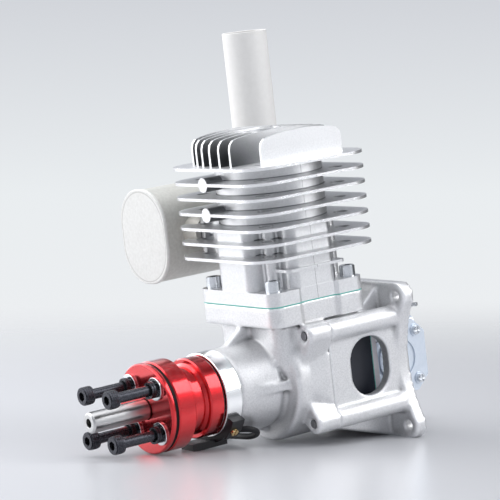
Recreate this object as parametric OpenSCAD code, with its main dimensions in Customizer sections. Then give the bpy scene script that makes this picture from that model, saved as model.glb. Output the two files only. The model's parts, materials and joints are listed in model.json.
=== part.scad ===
// Single-cylinder two-stroke model aircraft engine.
// The origin is the centre of the mounting flange's rear face, on the crank axis.
// The propeller is on -Y, the cylinder stands on +Z and the muffler is on -X.

/* [Mounting flange and rear housing] */
// Hole spacing across the flange, along X
mount_dx = 65.5; // [64:0.5:70]
// Hole spacing of the flange, along Z
mount_dz = 64; // [63:0.5:68]
// Diameter of the mounting holes
mount_hole_d = 5.5; // [4.5:0.5:6]
// Radius of the flange's ears around the holes
ear_r = 6.8; // [6:0.2:8]
// Thickness of the flange
flange_t = 6.5; // [5:0.5:8]
// Half width of the flange at its hollow sides
flange_waist = 31; // [30.6:0.2:32]
// Radius of the hollow sides
waist_r = 57; // [52:1:64]
// Distance from the flange's rear face to the split with the crankcase
housing_len = 48; // [46:0.5:51]
// Half width of the box between the flange and the split
housing_half_x = 31; // [30.6:0.2:32]
// Half height of the box's flat sides
housing_half_z = 20; // [19:0.5:21]
// Half height of the box over its top and bottom walls
housing_top = 25; // [24.5:0.5:26]
// Half width of the bay that holds the carburettor
bay_half_x = 25; // [24:0.5:25.5]
// Half height of that bay
bay_half_z = 21; // [20.6:0.2:21.6]
// Depth of that bay from the flange's rear face
bay_depth = 37; // [36:0.5:38]
// Width of the window in each side wall, along Y
window_w = 23.4; // [18:0.2:24]
// Height of the window
window_h = 28.7; // [24:0.1:29]
// Distance of the window's centre in front of the flange's rear face
window_y = 24; // [22:0.5:25]
// Height of the window's centre
window_z = 1.2; // [0:0.2:2]

/* [Housing screws] */
// Half spacing of the screws along X
lug_x = 29.8; // [29.4:0.2:30.2]
// Half spacing of the screws along Z
lug_z = 21.3; // [20.9:0.1:21.7]
// Height of the middle of the four screws above the crank axis
lug_mid_z = 1.3; // [0:0.1:1.5]
// Radius of the round boss around each screw
lug_r = 5.2; // [5:0.1:5.6]
// Length of the lugs in front of the split
lug_len = 14; // [12:0.5:15]
// Nominal diameter of the housing screws
lug_screw_d = 4; // [3.5:0.5:4]

/* [Crankcase] */
// Radius of the crank drum
drum_r = 30; // [29.6:0.2:30.4]
// Length of the drum in front of the split
drum_len = 20; // [19:0.5:22]
// Radius of the crank chamber
chamber_r = 28; // [27.8:0.1:28.2]
// Length of the cast nose
nose_len = 25.3; // [24:0.5:28]
// Radius of the cast nose at its front
nose_r = 19.6; // [19:0.2:20]
// Radius of the cast nose at its rear shoulder
nose_root_r = 22.2; // [21.6:0.2:22.6]
// Radius of the rounding on the drum's front rim
drum_round = 2.5; // [2:0.5:4]
// Thickness of the ribs on the nose
rib_t = 4.6; // [3:0.2:6]
// Height of the ribs where they meet the drum, from the axis
rib_reach = 25; // [24.4:0.2:26]
// Width of the gusset between nose and deck
gusset_t = 4.4; // [4:0.2:6]
// Height of the cylinder deck above the axis
deck_z = 38.5; // [38:0.5:40]
// Thickness of the deck block
deck_t = 10; // [9:0.5:10.5]

/* [Nose ring] */
// Outer radius of the turned ring
ring_r = 20.4; // [20:0.2:21]
// Length of the ring
ring_len = 9.7; // [9.5:0.1:11]
// Wall of the ring around the nose spigot
ring_wall = 2.2; // [2:0.1:2.6]

/* [Cylinder] */
// Distance of the cylinder's axis in front of the flange's rear face
cyl_y = 49.3; // [49:0.1:49.6]
// Bore of the cylinder
bore_d = 39; // [38:0.5:40]
// Half spacing of the base screws along X
base_x = 24; // [23.6:0.2:25]
// Half spacing of the base screws along Y
base_y = 22.5; // [22:0.5:23.5]
// Radius of the lug around each base screw
base_lug_r = 6; // [5.6:0.2:6.4]
// Thickness of the base gasket
gasket_t = 0.5; // [0.4:0.1:0.8]
// Thickness of the cylinder's base flange
base_t = 6.5; // [6:0.5:7]
// Outer radius of the plain barrel
barrel_r = 24; // [23.5:0.5:25]
// Outer radius of the upper barrel, beside the combustion chamber
upper_barrel_r = 26; // [24:0.5:27]
// Reach of the front and rear transfer bulges from the axis
bulge_y = 28; // [27:0.2:28.4]
// Reach of the side transfer bulge from the axis
bulge_x = 28.3; // [27:0.1:29]
// Half width of the bulges
bulge_half = 13.5; // [12:0.5:14]
// Outer radius of the sleeve below the base flange
sleeve_r = 21.4; // [21:0.2:21.8]
// Length of the sleeve below the deck face
sleeve_len = 8.5; // [8:0.5:9]

/* [Cooling fins] */
// Number of large fins
fin_n = 7; // [5:1:7]
// Distance from fin to fin
fin_pitch = 7.26; // [7:0.02:7.4]
// Thickness of the fins
fin_t = 1.4; // [1.2:0.1:2.2]
// Half size of the fins along X
fin_half_x = 37.5; // [36.5:0.5:37.5]
// Half size of the fins along Y
fin_half_y = 36.3; // [35.5:0.1:37.5]
// Corner radius of the fins
fin_round = 14.7; // [12:0.1:16]
// Height of the top fin's upper face
top_z = 106; // [105:0.5:108]
// Radius of the key holes above the base screws
key_hole_r = 3.1; // [2.9:0.1:3.4]
// Height of the short side fin's upper face
side_fin_z = 55.3; // [54:0.1:56]

/* [Head] */
// Distance between the upright head fins
head_pitch = 7.5; // [7:0.1:7.6]
// Number of evenly spaced upright fins
head_n = 6; // [4:1:6]
// Place of the single fin on the near side
head_last_x = 28; // [27:0.5:30]
// Height of the upright fins
head_h = 14.6; // [13:0.1:16]
// Half length of the middle upright fins
head_half = 31; // [29:0.5:32]
// Thickness of the upright fins
head_t = 1.4; // [1.2:0.1:2.2]
// Outer radius of the spark plug boss
plug_boss_r = 11.6; // [10.5:0.1:12.5]
// Core diameter of the spark plug thread
plug_d = 9; // [9:0.5:12]
// Length of the spark plug thread
plug_reach = 12.7; // [10:0.1:13]

/* [Crank train] */
// Stroke of the piston
stroke = 28; // [27:0.5:28]
// Length of the connecting rod between its centres
rod_len = 55; // [54.5:0.5:55.5]
// Height of the piston crown above the wrist pin
crown_h = 18; // [17:0.5:18]
// Length of the skirt below the wrist pin
skirt_h = 10; // [9:0.5:10]
// Wrist pin diameter
wrist_d = 10; // [9:0.5:10]
// Crank pin diameter
crank_pin_d = 10; // [9:0.5:11]
// Width of the connecting rod's eyes
rod_w = 8; // [7:0.5:8.5]
// Outer radius of the big end
big_end_r = 8.5; // [8.4:0.1:8.6]
// Outer radius of the small end
small_end_r = 8.6; // [8.4:0.1:9]
// Radius of the crank web
web_r = 25; // [24:0.5:26]
// Thickness of the crank web
web_t = 9.4; // [8.5:0.1:9.6]
// Diameter of the crankshaft's journals
journal_d = 15; // [14:0.5:15]

/* [Propeller hub] */
// Radius of the hub's front collar and of the propeller washer
hub_r = 21.7; // [21:0.1:23]
// Step from the front collar's radius down to the rear collar's
hub_rear_drop = 2.3; // [2:0.1:3]
// Length of the rear collar
hub_rear_len = 7.6; // [7:0.1:9]
// Length of the groove
groove_len = 10.1; // [8:0.1:11]
// Depth of the step in the groove
groove_step_depth = 3.1; // [2.6:0.1:3.8]
// Depth of the groove's floor
groove_depth = 5.7; // [5:0.1:6.5]
// Length of the front collar
hub_front_len = 9.6; // [8.5:0.1:11]
// Running gap between hub and nose ring
hub_gap = 0.7; // [0.4:0.1:0.9]
// Thickness of the black drive ring
drive_ring_t = 1.6; // [1.2:0.1:2]
// Thickness of the propeller washer
prop_washer_t = 2.9; // [2.5:0.1:4]

/* [Propeller bolts and stud] */
// Pitch circle of the propeller bolts
prop_pcd = 30; // [29:0.5:31]
// Nominal diameter of the propeller bolts
prop_bolt_d = 5; // [4.5:0.5:5]
// Diameter of their heads
prop_head_d = 8.5; // [8:0.5:9]
// Distance from the propeller washer to the front of the bolt heads
prop_bolt_reach = 27.4; // [24:0.2:34]
// Diameter of the centre stud
stud_d = 10; // [9:0.5:11]
// Distance from the propeller washer to the stud's tip
stud_reach = 31.9; // [29:0.1:40]

/* [Muffler] */
// Distance of the can's axis from the crank axis plane
can_x = 61; // [60.5:0.5:64]
// Height of the can's axis
can_z = 71.2; // [70:0.2:73]
// Width of the can
can_w = 38; // [37:0.5:39]
// Height of the can
can_h = 46.6; // [44:0.2:48]
// Corner radius of the can
can_round = 17.2; // [15:0.2:18]
// Distance from the flange's rear face plane to the can's front end
can_front = 85.2; // [80:0.2:88]
// Length of the can
can_len = 90; // [84:1:96]
// Wall of the can
can_wall = 1.2; // [1:0.1:1.6]
// Outer diameter of the outlet pipe
pipe_d = 22.7; // [20:0.1:24]
// Wall of the outlet pipe
pipe_wall = 1.3; // [1:0.1:2]
// Height of the outlet pipe's open end above the crank axis
pipe_top = 164.8; // [150:0.2:180]
// Distance of the outlet pipe in front of the flange's rear face plane
pipe_y = 10; // [8:0.5:14]
// Height of the exhaust port's centre
port_z = 71.8; // [71.4:0.2:72.2]

/* [Carburettor] */
// Height of the carburettor's bore above the crank axis
carb_z = -2; // [-2.4:0.2:-1.6]
// Distance of the carburettor's rear face behind the mounting flange
carb_back = 20; // [19:0.5:22]
// Half width of the carburettor's body, between its covers
carb_half_x = 15; // [14:0.5:15.5]
// Half height of the carburettor's body
carb_half_z = 19; // [18.6:0.2:19.4]
// Half size of the metering cover
cover_half = 18; // [17:0.1:18.4]
// Size of the cover's cut corners
cover_cut = 7; // [4:0.5:8]
// Radius of the throttle bore
throttle_r = 7.5; // [7:0.1:7.8]
// Radius of the intake bore
intake_r = 8.6; // [8.4:0.1:9]

/* [Hidden] */
$fn = 64;

// Clearance of a pressed or bolted seat, and of a running fit
seat = 0.02;
run = 0.05;
// Overcut, so that no cut ends on a face
e = 0.1;

// Places along the crank axis, as Y coordinates
y_split = -housing_len;
y_drum = y_split - drum_len;
y_nose = y_drum - nose_len;
y_ring = y_nose - ring_len;
y_hub = y_ring - hub_gap;
y_groove_rear = y_hub - hub_rear_len;
y_groove_front = y_groove_rear - groove_len;
y_hub_front = y_groove_front - hub_front_len;
y_drive_ring = y_hub_front - drive_ring_t;
y_washer = y_drive_ring - prop_washer_t;
y_stud_tip = y_washer - stud_reach;
y_bolt_tip = y_washer - prop_bolt_reach;
yc = -cyl_y;

// Crank train
crank_r = stroke / 2;
wrist_z = rod_len - crank_r;
crown_z = wrist_z + crown_h;
bore_r = bore_d / 2;
web_gap = 1;
web_y = yc - rod_w / 2 - web_gap;
chamber_front = web_y - web_t - 0.9;
chamber_back = yc + 6.8;
// Room for the swinging rod's big end, half its width and half its length
swing_half_x = 22.9;
neck_half = base_x + 1;
swing_half_y = rod_w / 2 + 0.6;
swing_top = wrist_z + stroke - rod_len * cos(15) + big_end_r + 0.6;
rear_bearing_w = 11;
rear_bearing_r = 17.5;
front_bearing_w = 9;
spigot_r = ring_r - ring_wall;
front_bearing_r = spigot_r - 2.2;
rear_bearing_y = chamber_front - rear_bearing_w;
front_bearing_y = y_ring + 1;
seal_w = 6;
seal_r = front_bearing_r - 3;
journal_r = journal_d / 2;
hub_rear_r = hub_r - hub_rear_drop;
groove_step_r = hub_r - groove_step_depth;
groove_r = hub_r - groove_depth;
hub_bore_r = journal_r - 0.5;
bolt_boss_h = 5;

// Deck and cylinder heights
deck_bottom = deck_z - deck_t;
base_bottom = deck_z + gasket_t;
base_top = base_bottom + base_t;
sleeve_bottom = base_bottom - sleeve_len;
fin_low_z = top_z - (fin_n - 1) * fin_pitch;
bore_top = wrist_z + stroke + crown_h + 1;
plug_seat_z = top_z + head_h - 4.5;
base_screw_r = 2.5;
base_head_r = 3.8;
base_head_h = 5.4;
boss_x = -4.5;
boss_r = 3.5;

// Manifold behind the crank chamber
block_half_x = 20;
block_half_z = 18.2;
duct_half_x = 13;
duct_half_z = 10.5;
block_front = -bay_depth;
block_len = 23;
manifold_gasket_t = 0.5;
adaptor_t = 3;
y_reed_gasket = block_front + block_len;
y_adaptor = y_reed_gasket + manifold_gasket_t;
y_carb_gasket = y_adaptor + adaptor_t;
y_carb = y_carb_gasket + manifold_gasket_t;
manifold_x = 16.4;
manifold_z = 14.8;
manifold_screw_r = 2;
carb_screw_x = -6.6;
carb_screw_z = 15.4;
carb_screw_r = 2.5;
carb_screw_head_h = 4;
throttle_y = y_carb + 7.6;
choke_y = carb_back - 7;
shaft_r = 2.5;
choke_shaft_r = 2;
cover_t = 3;
pump_t = 4;
cover_y = (y_carb + carb_back) / 2 - 0.2;
cover_screw = 12.2;
carb_front_half = 18.4;
carb_top = carb_z + carb_half_z;
carb_bottom = carb_z - carb_half_z;

// Muffler
neck_half_y = 25;
neck_half_z = 7.75;
neck_x = fin_half_x - 6.5;
exhaust_gasket_t = 0.5;
port_half_y = 11;
port_half_z = 5.4;
muffler_screw_y = 18.6;
muffler_screw_r = 2;
can_inner_x = can_x - can_w / 2;

// Resting plane: the flange's lower edge and the propeller washer's lowest point touch it
foot_z = -(mount_dz / 2 + ear_r);
rest_tilt = atan((-foot_z - hub_r) / -y_washer);

// Sensor
sensor_a0 = -116;
sensor_a1 = -28;
sensor_screw_a = 42;
sensor_gap = 0.3;
lead_r = 1.5;
// Route of the sensor's lead, from its exit to the coil
lead_route = [
    [14.8, -94.9, -17], [15.1, -94, -17], [15.9, -93, -17], [17, -91.8, -17.1],
    [17.9, -90.2, -17.5], [18, -88.2, -18.2], [17.3, -86.3, -19.2], [15.8, -84.7, -20.4],
    [13.6, -83.6, -21.6], [10.9, -83.1, -22.7], [7.8, -83, -23.5], [4.5, -83, -24],
    [-1, -83, -24.3], [-8, -82.6, -25], [-15, -81.8, -25.8], [-21.5, -79.8, -26.8],
    [-27.5, -76.2, -27.6], [-33, -71, -28.3], [-38, -63.5, -29.3], [-41.5, -54, -30.5],
    [-44.5, -43, -31.9], [-46.5, -31, -33.4], [-48, -18, -35], [-49, -5, -36.7],
    [-49.3, 8, -38.2], [-49.3, 14, -38.8], [-49.3, 19, -39.3]
];
// Route from the coil to the plug
tail_route = [
    [-19.3, 30, -37.1], [-19.2, 28, -36.7], [-18.8, 25.6, -36.2], [-18.3, 23, -36.3], [-18, 20.6, -37.2],
    [-18, 18.3, -38.4], [-18, 16.8, -38.7]
];
coil_x = -34.3;
coil_y = 30;
coil_r = 15;
coil_lift = 0.7;
plug_size = [7.8, 14, 3.4];
plug_x = -18;
plug_y = 9.2;

// Helper shapes

// A cylinder along Y, from y0 to y1
module ycyl(r, y0, y1, x = 0, z = 0) {
    translate([x, y0, z]) rotate([-90, 0, 0]) cylinder(r = r, h = y1 - y0);
}

// A cylinder along X, from x0 to x1
module xcyl(r, x0, x1, y = 0, z = 0) {
    translate([x0, y, z]) rotate([0, 90, 0]) cylinder(r = r, h = x1 - x0);
}

// A cylinder along Z, from z0 to z1
module zcyl(r, z0, z1, x = 0, y = 0) {
    translate([x, y, z0]) cylinder(r = r, h = z1 - z0);
}

// An outline in X and Z, extruded from y0 to y1
module yext(y0, y1) {
    translate([0, y1, 0]) rotate([90, 0, 0]) linear_extrude(height = y1 - y0) children();
}

// An outline in Y and Z, extruded from x0 to x1
module xext(x0, x1) {
    translate([x0, 0, 0]) rotate([90, 0, 90]) linear_extrude(height = x1 - x0) children();
}

// An outline in X and Y, extruded from z0 to z1
module zext(z0, z1) {
    translate([0, 0, z0]) linear_extrude(height = z1 - z0) children();
}

// An outline in radius and Y, turned around the crank axis
module yturn() {
    rotate([-90, 0, 0]) rotate_extrude($fn = 96) children();
}

// A box from one corner to the other
module block(a, b) {
    translate(a) cube(b - a);
}

// A rectangle with round corners, centred
module rrect(w, d, r) {
    square([w - 2 * r, d], center = true);
    square([w, d - 2 * r], center = true);
    for (sx = [-1, 1], sy = [-1, 1])
        translate([sx * (w / 2 - r), sy * (d / 2 - r)]) circle(r = r);
}

// Points of an arc in a plane
function arc(cx, cy, r, a0, a1, n) =
    [for (i = [0:n]) let (a = a0 + (a1 - a0) * i / n) [cx + r * cos(a), cy + r * sin(a)]];

// Its children at the four corners of a rectangle in X and Z
module corners_xz(x, z) {
    for (sx = [-1, 1], sz = [-1, 1]) translate([sx * x, 0, sz * z]) children();
}

// Its children at the four housing screws
module at_lugs() {
    for (sx = [-1, 1], sz = [-1, 1]) translate([sx * lug_x, 0, lug_mid_z + sz * lug_z]) children();
}

// Its children at the four base screws
module at_base_screws() {
    for (sx = [-1, 1], sy = [-1, 1]) translate([sx * base_x, yc + sy * base_y, 0]) children();
}

// A socket screw along +Y, with the front of its head at y = 0
module socket_screw(r, head_r, head_h, len, hex_r) {
    difference() {
        union() {
            ycyl(head_r, 0.4, head_h);
            ycyl(head_r - 0.4, 0, head_h);
            ycyl(r, head_h - e, head_h + len);
        }
        translate([0, -e, 0]) rotate([-90, 30, 0]) cylinder(r = hex_r, h = head_h * 0.6 + e, $fn = 6);
    }
}

// Casting bodies

// Outline of the deck and of the cylinder's base flange
module base_outline() {
    half_x = base_x + base_lug_r;
    half_y = base_y + base_lug_r;
    recess = 1.4;
    translate([0, yc]) difference() {
        rrect(2 * half_x, 2 * half_y, base_lug_r);
        for (s = [-1, 1]) hull() {
            translate([s * half_x, 0]) square([2 * recess, 20], center = true);
            translate([s * (half_x + recess), 0]) square([2 * recess, 24], center = true);
        }
    }
}

// Radius and Y outline of the nose and the drum
module case_outline() {
    // The shoulder that ends the nose and the fillet behind it, from the shoulder's radius and the drum's face
    shoulder = [[0, -5], [-0.1, -4.1], [-0.5, -3.3], [-1, -2.8], [-1.3, -2.4], [-1.2, -1.9], [-0.8, -1.2],
                [-0.2, -0.6], [0.6, -0.15], [1.6, 0]];
    polygon(concat(
        [[0, y_nose], [nose_r - 0.5, y_nose], [nose_r, y_nose + 0.5]],
        [for (p = shoulder) [nose_root_r + p[0], y_drum + p[1]]],
        arc(drum_r - drum_round, y_drum + drum_round, drum_round, -90, 0, 8),
        [[drum_r, y_split], [0, y_split]]
    ));
}

// One tapered rib from the nose to the drum, at the bottom
module nose_rib() {
    xext(-rib_t / 2, rib_t / 2)
        polygon([[y_nose + 2, -nose_r + 0.5], [y_drum + 1, -rib_reach], [y_drum + 1, -10], [y_nose + 2, -10]]);
}

module crankcase() {
    side_flat = 12;
    // From the cylinder's axis to the neck's front wall
    neck_front = 23.3;
    color([0.80, 0.81, 0.82])
    difference() {
        union() {
            yturn() case_outline();
            ycyl(spigot_r, y_ring + 0.3, y_nose + e);
            for (a = [0, 90, -90]) rotate([0, a, 0]) nose_rib();
            // Gusset from the nose up to the deck
            xext(-gusset_t / 2, gusset_t / 2)
                polygon([[y_nose + 3, nose_r - 1], [yc - base_y - 3, deck_bottom + 1],
                         [y_drum + 2, deck_bottom + 1], [y_drum + 2, 10], [y_nose + 3, 10]]);
            // Neck between the drum and the deck
            block([-neck_half, yc - neck_front, 10], [neck_half, y_split, deck_bottom + 1]);
            zext(deck_bottom, deck_z) base_outline();
            // Lugs for the housing screws
            at_lugs() ycyl(lug_r, y_split - lug_len, y_split);
            yext(y_split - lug_len, y_split) for (sx = [-1, 1], sz = [-1, 1]) hull() {
                translate([sx * lug_x, lug_mid_z + sz * lug_z]) circle(r = lug_r - 0.2);
                translate([sx * (lug_x - 6), sz * (lug_z - 8)]) circle(r = 6);
            }
            // Flat sides that carry on the housing's
            hull() {
                yext(y_split - e, y_split) square([2 * housing_half_x, 2 * side_flat], center = true);
                ycyl(drum_r, y_split - 12, y_split);
            }
        }
        // Crank chamber and the throat below the cylinder
        ycyl(chamber_r, chamber_front, y_split + e);
        zcyl(sleeve_r + 0.3, 0, deck_z + e, 0, yc);
        block([-swing_half_x, yc - swing_half_y, 0], [swing_half_x, y_split + e, swing_top]);
        block([-30, y_split, 0], [30, yc + 30, deck_bottom]);
        // Seats of the bearings and the seal
        ycyl(rear_bearing_r + seat, rear_bearing_y, chamber_front + e);
        ycyl(journal_r + 2.5, y_ring, chamber_front);
        ycyl(seal_r + seat, front_bearing_y + front_bearing_w - e, front_bearing_y + front_bearing_w + seal_w + 1);
        ycyl(front_bearing_r + seat, y_ring, front_bearing_y + front_bearing_w);
        // Screw holes
        at_base_screws() zcyl(base_screw_r + run, deck_bottom - e, deck_z + e);
        at_lugs() ycyl(lug_screw_d / 2 + run, y_split - lug_len - e, y_split + e);
        // The screw end shows in a shallow recess
        at_lugs() ycyl(lug_screw_d / 2 + 0.6, y_split - lug_len - e, y_split - lug_len + 0.8);
    }
}

module nose_ring() {
    color([0.88, 0.89, 0.90])
    yturn() polygon([
        [spigot_r + seat, y_ring + 0.3], [spigot_r + 0.6, y_ring], [ring_r - 0.3, y_ring], [ring_r, y_ring + 0.3],
        [ring_r, y_nose - 0.9], [ring_r - 0.5, y_nose - 0.4], [ring_r - 0.5, y_nose - seat],
        [spigot_r + seat, y_nose - seat]
    ]);
}

// Outline of the mounting flange
module flange_outline() {
    difference() {
        rrect(mount_dx + 2 * ear_r, mount_dz + 2 * ear_r, ear_r);
        for (s = [-1, 1]) translate([s * (flange_waist + waist_r), 0]) circle(r = waist_r, $fn = 128);
    }
}

// Side window, an upright oval with round ends
module window_outline() {
    translate([-window_y, window_z]) rrect(window_w, window_h, window_w / 2 - 0.4);
}

module rear_housing() {
    web_half = 20;
    neck_wall = 1.8;
    rod_slot = 18;
    color([0.78, 0.79, 0.80])
    difference() {
        union() {
            yext(-flange_t, 0) flange_outline();
            yext(y_split, -flange_t + e) {
                square([2 * housing_half_x, 2 * housing_half_z], center = true);
                square([2 * 24, 2 * housing_top], center = true);
            }
            at_lugs() ycyl(lug_r, y_split, -flange_t + e);
            // Round end that carries on the drum
            intersection() {
                ycyl(drum_r, y_split, -bay_depth);
                block([-40, y_split, -40], [40, 0, deck_bottom - 0.2]);
            }
            // Neck that carries on the crankcase's
            block([-neck_half, y_split, 10], [neck_half, chamber_back + neck_wall, deck_bottom - 0.2]);
            // Sloping webs from the flange's upper and lower edges
            xext(-web_half, web_half) polygon([
                [y_split + 3, -web_half], [y_split + 3, -housing_top - 1.5],
                [-flange_t, foot_z + 0.6], [-flange_t, -web_half]
            ]);
            xext(-web_half, web_half) polygon([
                [yc + base_y + base_lug_r + 0.7, web_half], [yc + base_y + base_lug_r + 0.7, housing_top + 1],
                [-flange_t, -foot_z - 1.4], [-flange_t, web_half]
            ]);
        }
        // Rear of the crank chamber, and room for the swinging rod
        ycyl(chamber_r, y_split - e, chamber_back);
        block([-swing_half_x, y_split - e, 0], [swing_half_x, chamber_back, swing_top]);
        block([-rod_slot, y_split - e, 0], [rod_slot, chamber_back, deck_bottom]);
        // Intake port, and the bay for the carburettor
        block([-duct_half_x, chamber_back - e, carb_z - duct_half_z],
              [duct_half_x, block_front + e, carb_z + duct_half_z]);
        yext(block_front, e) rrect(2 * bay_half_x, 2 * bay_half_z, 3);
        // Windows
        xext(bay_half_x - 4, housing_half_x + 10) window_outline();
        xext(-housing_half_x - 10, -bay_half_x + 4) window_outline();
        // Holes
        corners_xz(mount_dx / 2, mount_dz / 2) ycyl(mount_hole_d / 2, -flange_t - e, e);
        at_lugs() ycyl(lug_screw_d / 2 + run, y_split - e, e);
        at_lugs() ycyl(lug_screw_d - 0.2, -lug_screw_d - 0.2, e);
        for (sx = [-1, 1], sz = [-1, 1])
            ycyl(manifold_screw_r + run, block_front - 4, block_front + e, sx * manifold_x, carb_z + sz * manifold_z);
    }
}

module housing_screws() {
    color([0.35, 0.35, 0.36])
    at_lugs() rotate([0, 0, 180]) translate([0, 0.2, 0])
        socket_screw(lug_screw_d / 2, lug_screw_d - 0.5, lug_screw_d, housing_len + lug_len - lug_screw_d - 0.6,
                     lug_screw_d * 0.42);
}

// Cylinder

module base_gasket() {
    color([0.25, 0.62, 0.55])
    difference() {
        zext(deck_z, base_bottom) base_outline();
        zcyl(sleeve_r + 0.4, deck_z - e, base_bottom + e, 0, yc);
        at_base_screws() zcyl(base_screw_r + run, deck_z - e, base_bottom + e);
    }
}

// One upright head fin, with round shoulders and a slightly arched top
module head_fin(x) {
    half = head_half - 0.0088 * x * x;
    shoulder = 5;
    arch = 1.6;
    side = head_h - arch;
    top = [for (i = [-6:6]) let (t = i / 6) [t * (half - shoulder), head_h - arch * t * t]];
    translate([0, yc, top_z]) xext(x - head_t / 2, x + head_t / 2) polygon(concat(
        [[-half, -e], [-half, side - shoulder]],
        [for (a = [150, 120]) [-half + shoulder + shoulder * cos(a), side - shoulder + shoulder * sin(a)]],
        top,
        [for (a = [60, 30]) [half - shoulder + shoulder * cos(a), side - shoulder + shoulder * sin(a)]],
        [[half, side - shoulder], [half, -e]]
    ));
}

// Outline of the lower barrel with its transfer bulges and corner ridges
module barrel_outline() {
    circle(r = barrel_r);
    rrect(2 * bulge_half, 2 * bulge_y, 5);
    translate([bulge_x / 2, 0]) rrect(bulge_x, 2 * bulge_half, 5);
    for (sx = [-1, 1], sy = [-1, 1]) translate([sx * 16.6, sy * 16.6]) circle(r = 3.4);
}

module cylinder_casting() {
    translate([0, yc, 0]) {
        zcyl(sleeve_r, sleeve_bottom, base_bottom + 1);
        zcyl(barrel_r, base_bottom, top_z - fin_t / 2);
        zcyl(upper_barrel_r, fin_low_z + 2 * fin_pitch - fin_t / 2, top_z - fin_t / 2);
        zext(base_bottom, fin_low_z + 2 * fin_pitch) barrel_outline();
        for (i = [0:fin_n - 1]) zext(top_z - i * fin_pitch - fin_t, top_z - i * fin_pitch)
            rrect(2 * fin_half_x, 2 * fin_half_y, fin_round);
        // Short fin on the side bulge
        zext(side_fin_z - fin_t, side_fin_z) translate([15.2, 0]) rrect(30.8, 35, 3);
        // Exhaust flange
        block([-neck_x + exhaust_gasket_t, -neck_half_y + 3, port_z - neck_half_z - 1.5],
              [-15, neck_half_y - 3, port_z + neck_half_z + 1.5]);
        // Cast bosses on the front, at every second fin
        for (i = [1, 3]) ycyl(boss_r, -fin_half_y, -10, boss_x, top_z - i * fin_pitch - fin_t / 2);
        // Spark plug boss
        zcyl(plug_boss_r, top_z - 1, top_z + head_h - 0.9);
    }
    zext(base_bottom, base_top) base_outline();
    for (i = [0:head_n - 1]) head_fin((i - (head_n - 1) / 2) * head_pitch - head_pitch);
    head_fin(head_last_x);
}

module finned_cylinder() {
    color([0.80, 0.81, 0.82])
    difference() {
        cylinder_casting();
        // Bore, combustion chamber and plug thread
        zcyl(bore_r, sleeve_bottom - e, bore_top, 0, yc);
        translate([0, yc, 0]) rotate_extrude() polygon([
            [0, bore_top - e], [15, bore_top - e], [15, bore_top], [13.4, bore_top + 5], [10, bore_top + 9],
            [6.5, bore_top + 12], [6.5, plug_seat_z - plug_reach], [0, plug_seat_z - plug_reach]
        ]);
        zcyl(plug_d / 2, bore_top, top_z + head_h + 5, 0, yc);
        zcyl(plug_boss_r - 3, plug_seat_z, top_z + head_h + 5, 0, yc);
        // Exhaust port
        block([-40, yc - port_half_y, port_z - port_half_z], [-10, yc + port_half_y, port_z + port_half_z]);
        // Room for the muffler's neck
        block([-45, yc - neck_half_y - 1, port_z - neck_half_z - 1.2],
              [-neck_x + exhaust_gasket_t, yc + neck_half_y + 1, port_z + neck_half_z + 1.2]);
        for (s = [-1, 1])
            xcyl(muffler_screw_r + run, -neck_x - e, -18, yc + s * muffler_screw_y, port_z);
        // Base screws and the key holes above them
        at_base_screws() zcyl(base_screw_r + run, base_bottom - e, base_top + e);
        at_base_screws() zcyl(base_head_r + 0.3, base_top, base_top + base_head_h + 3);
        at_base_screws() zcyl(key_hole_r, base_top, top_z + e);
    }
}

module cylinder_screws() {
    color([0.72, 0.70, 0.62])
    at_base_screws() translate([0, 0, base_top + base_head_h]) rotate([-90, 0, 0])
        socket_screw(base_screw_r, base_head_r, base_head_h, base_t + gasket_t + deck_t - 0.5, 2.1);
}

// Crankshaft bearings and seal

// Outer race of a ball bearing, its rear face at y1
module outer_race(r, w, y1) {
    groove_r = 3.2;
    pitch = (r + journal_r) / 2;
    difference() {
        yturn() translate([(r + pitch + 1.6) / 2, y1 - w / 2]) square([r - pitch - 1.6, w], center = true);
        yturn() translate([pitch, y1 - w / 2]) circle(r = groove_r);
    }
}

// Inner race of a ball bearing
module inner_race(r, w, y1) {
    groove_r = 3.2;
    pitch = (r + journal_r) / 2;
    difference() {
        yturn() translate([(journal_r + seat + pitch - 1.6) / 2, y1 - w / 2])
            square([pitch - 1.6 - journal_r - seat, w], center = true);
        yturn() translate([pitch, y1 - w / 2]) circle(r = groove_r);
    }
}

// Balls of one bearing
module ball_ring(r, w, y1) {
    pitch = (r + journal_r) / 2;
    for (i = [0:7]) rotate([0, i * 45, 0]) translate([pitch, y1 - w / 2, 0]) sphere(r = 2.85, $fn = 24);
}

module front_bearing_outer() {
    color([0.70, 0.71, 0.72]) outer_race(front_bearing_r, front_bearing_w, front_bearing_y + front_bearing_w);
}

module rear_bearing_outer() {
    color([0.70, 0.71, 0.72]) outer_race(rear_bearing_r, rear_bearing_w, rear_bearing_y + rear_bearing_w);
}

module bearing_balls() {
    color([0.85, 0.86, 0.88]) {
        ball_ring(front_bearing_r, front_bearing_w, front_bearing_y + front_bearing_w);
        ball_ring(rear_bearing_r, rear_bearing_w, rear_bearing_y + rear_bearing_w);
    }
}

module oil_seal() {
    seal_front = front_bearing_y + front_bearing_w + 0.5;
    color([0.12, 0.12, 0.13])
    yturn() polygon([
        [journal_r + 0.3, seal_front + 2], [journal_r + 3, seal_front], [seal_r, seal_front],
        [seal_r, seal_front + seal_w], [journal_r + 3, seal_front + seal_w], [journal_r + 3, seal_front + 3],
        [journal_r + 0.3, seal_front + 4]
    ]);
}

// Muffler

// Outline of the can, grown by g
module can_outline(g) {
    translate([-can_x, can_z]) rrect(can_w + 2 * g, can_h + 2 * g, can_round + g);
}

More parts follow.
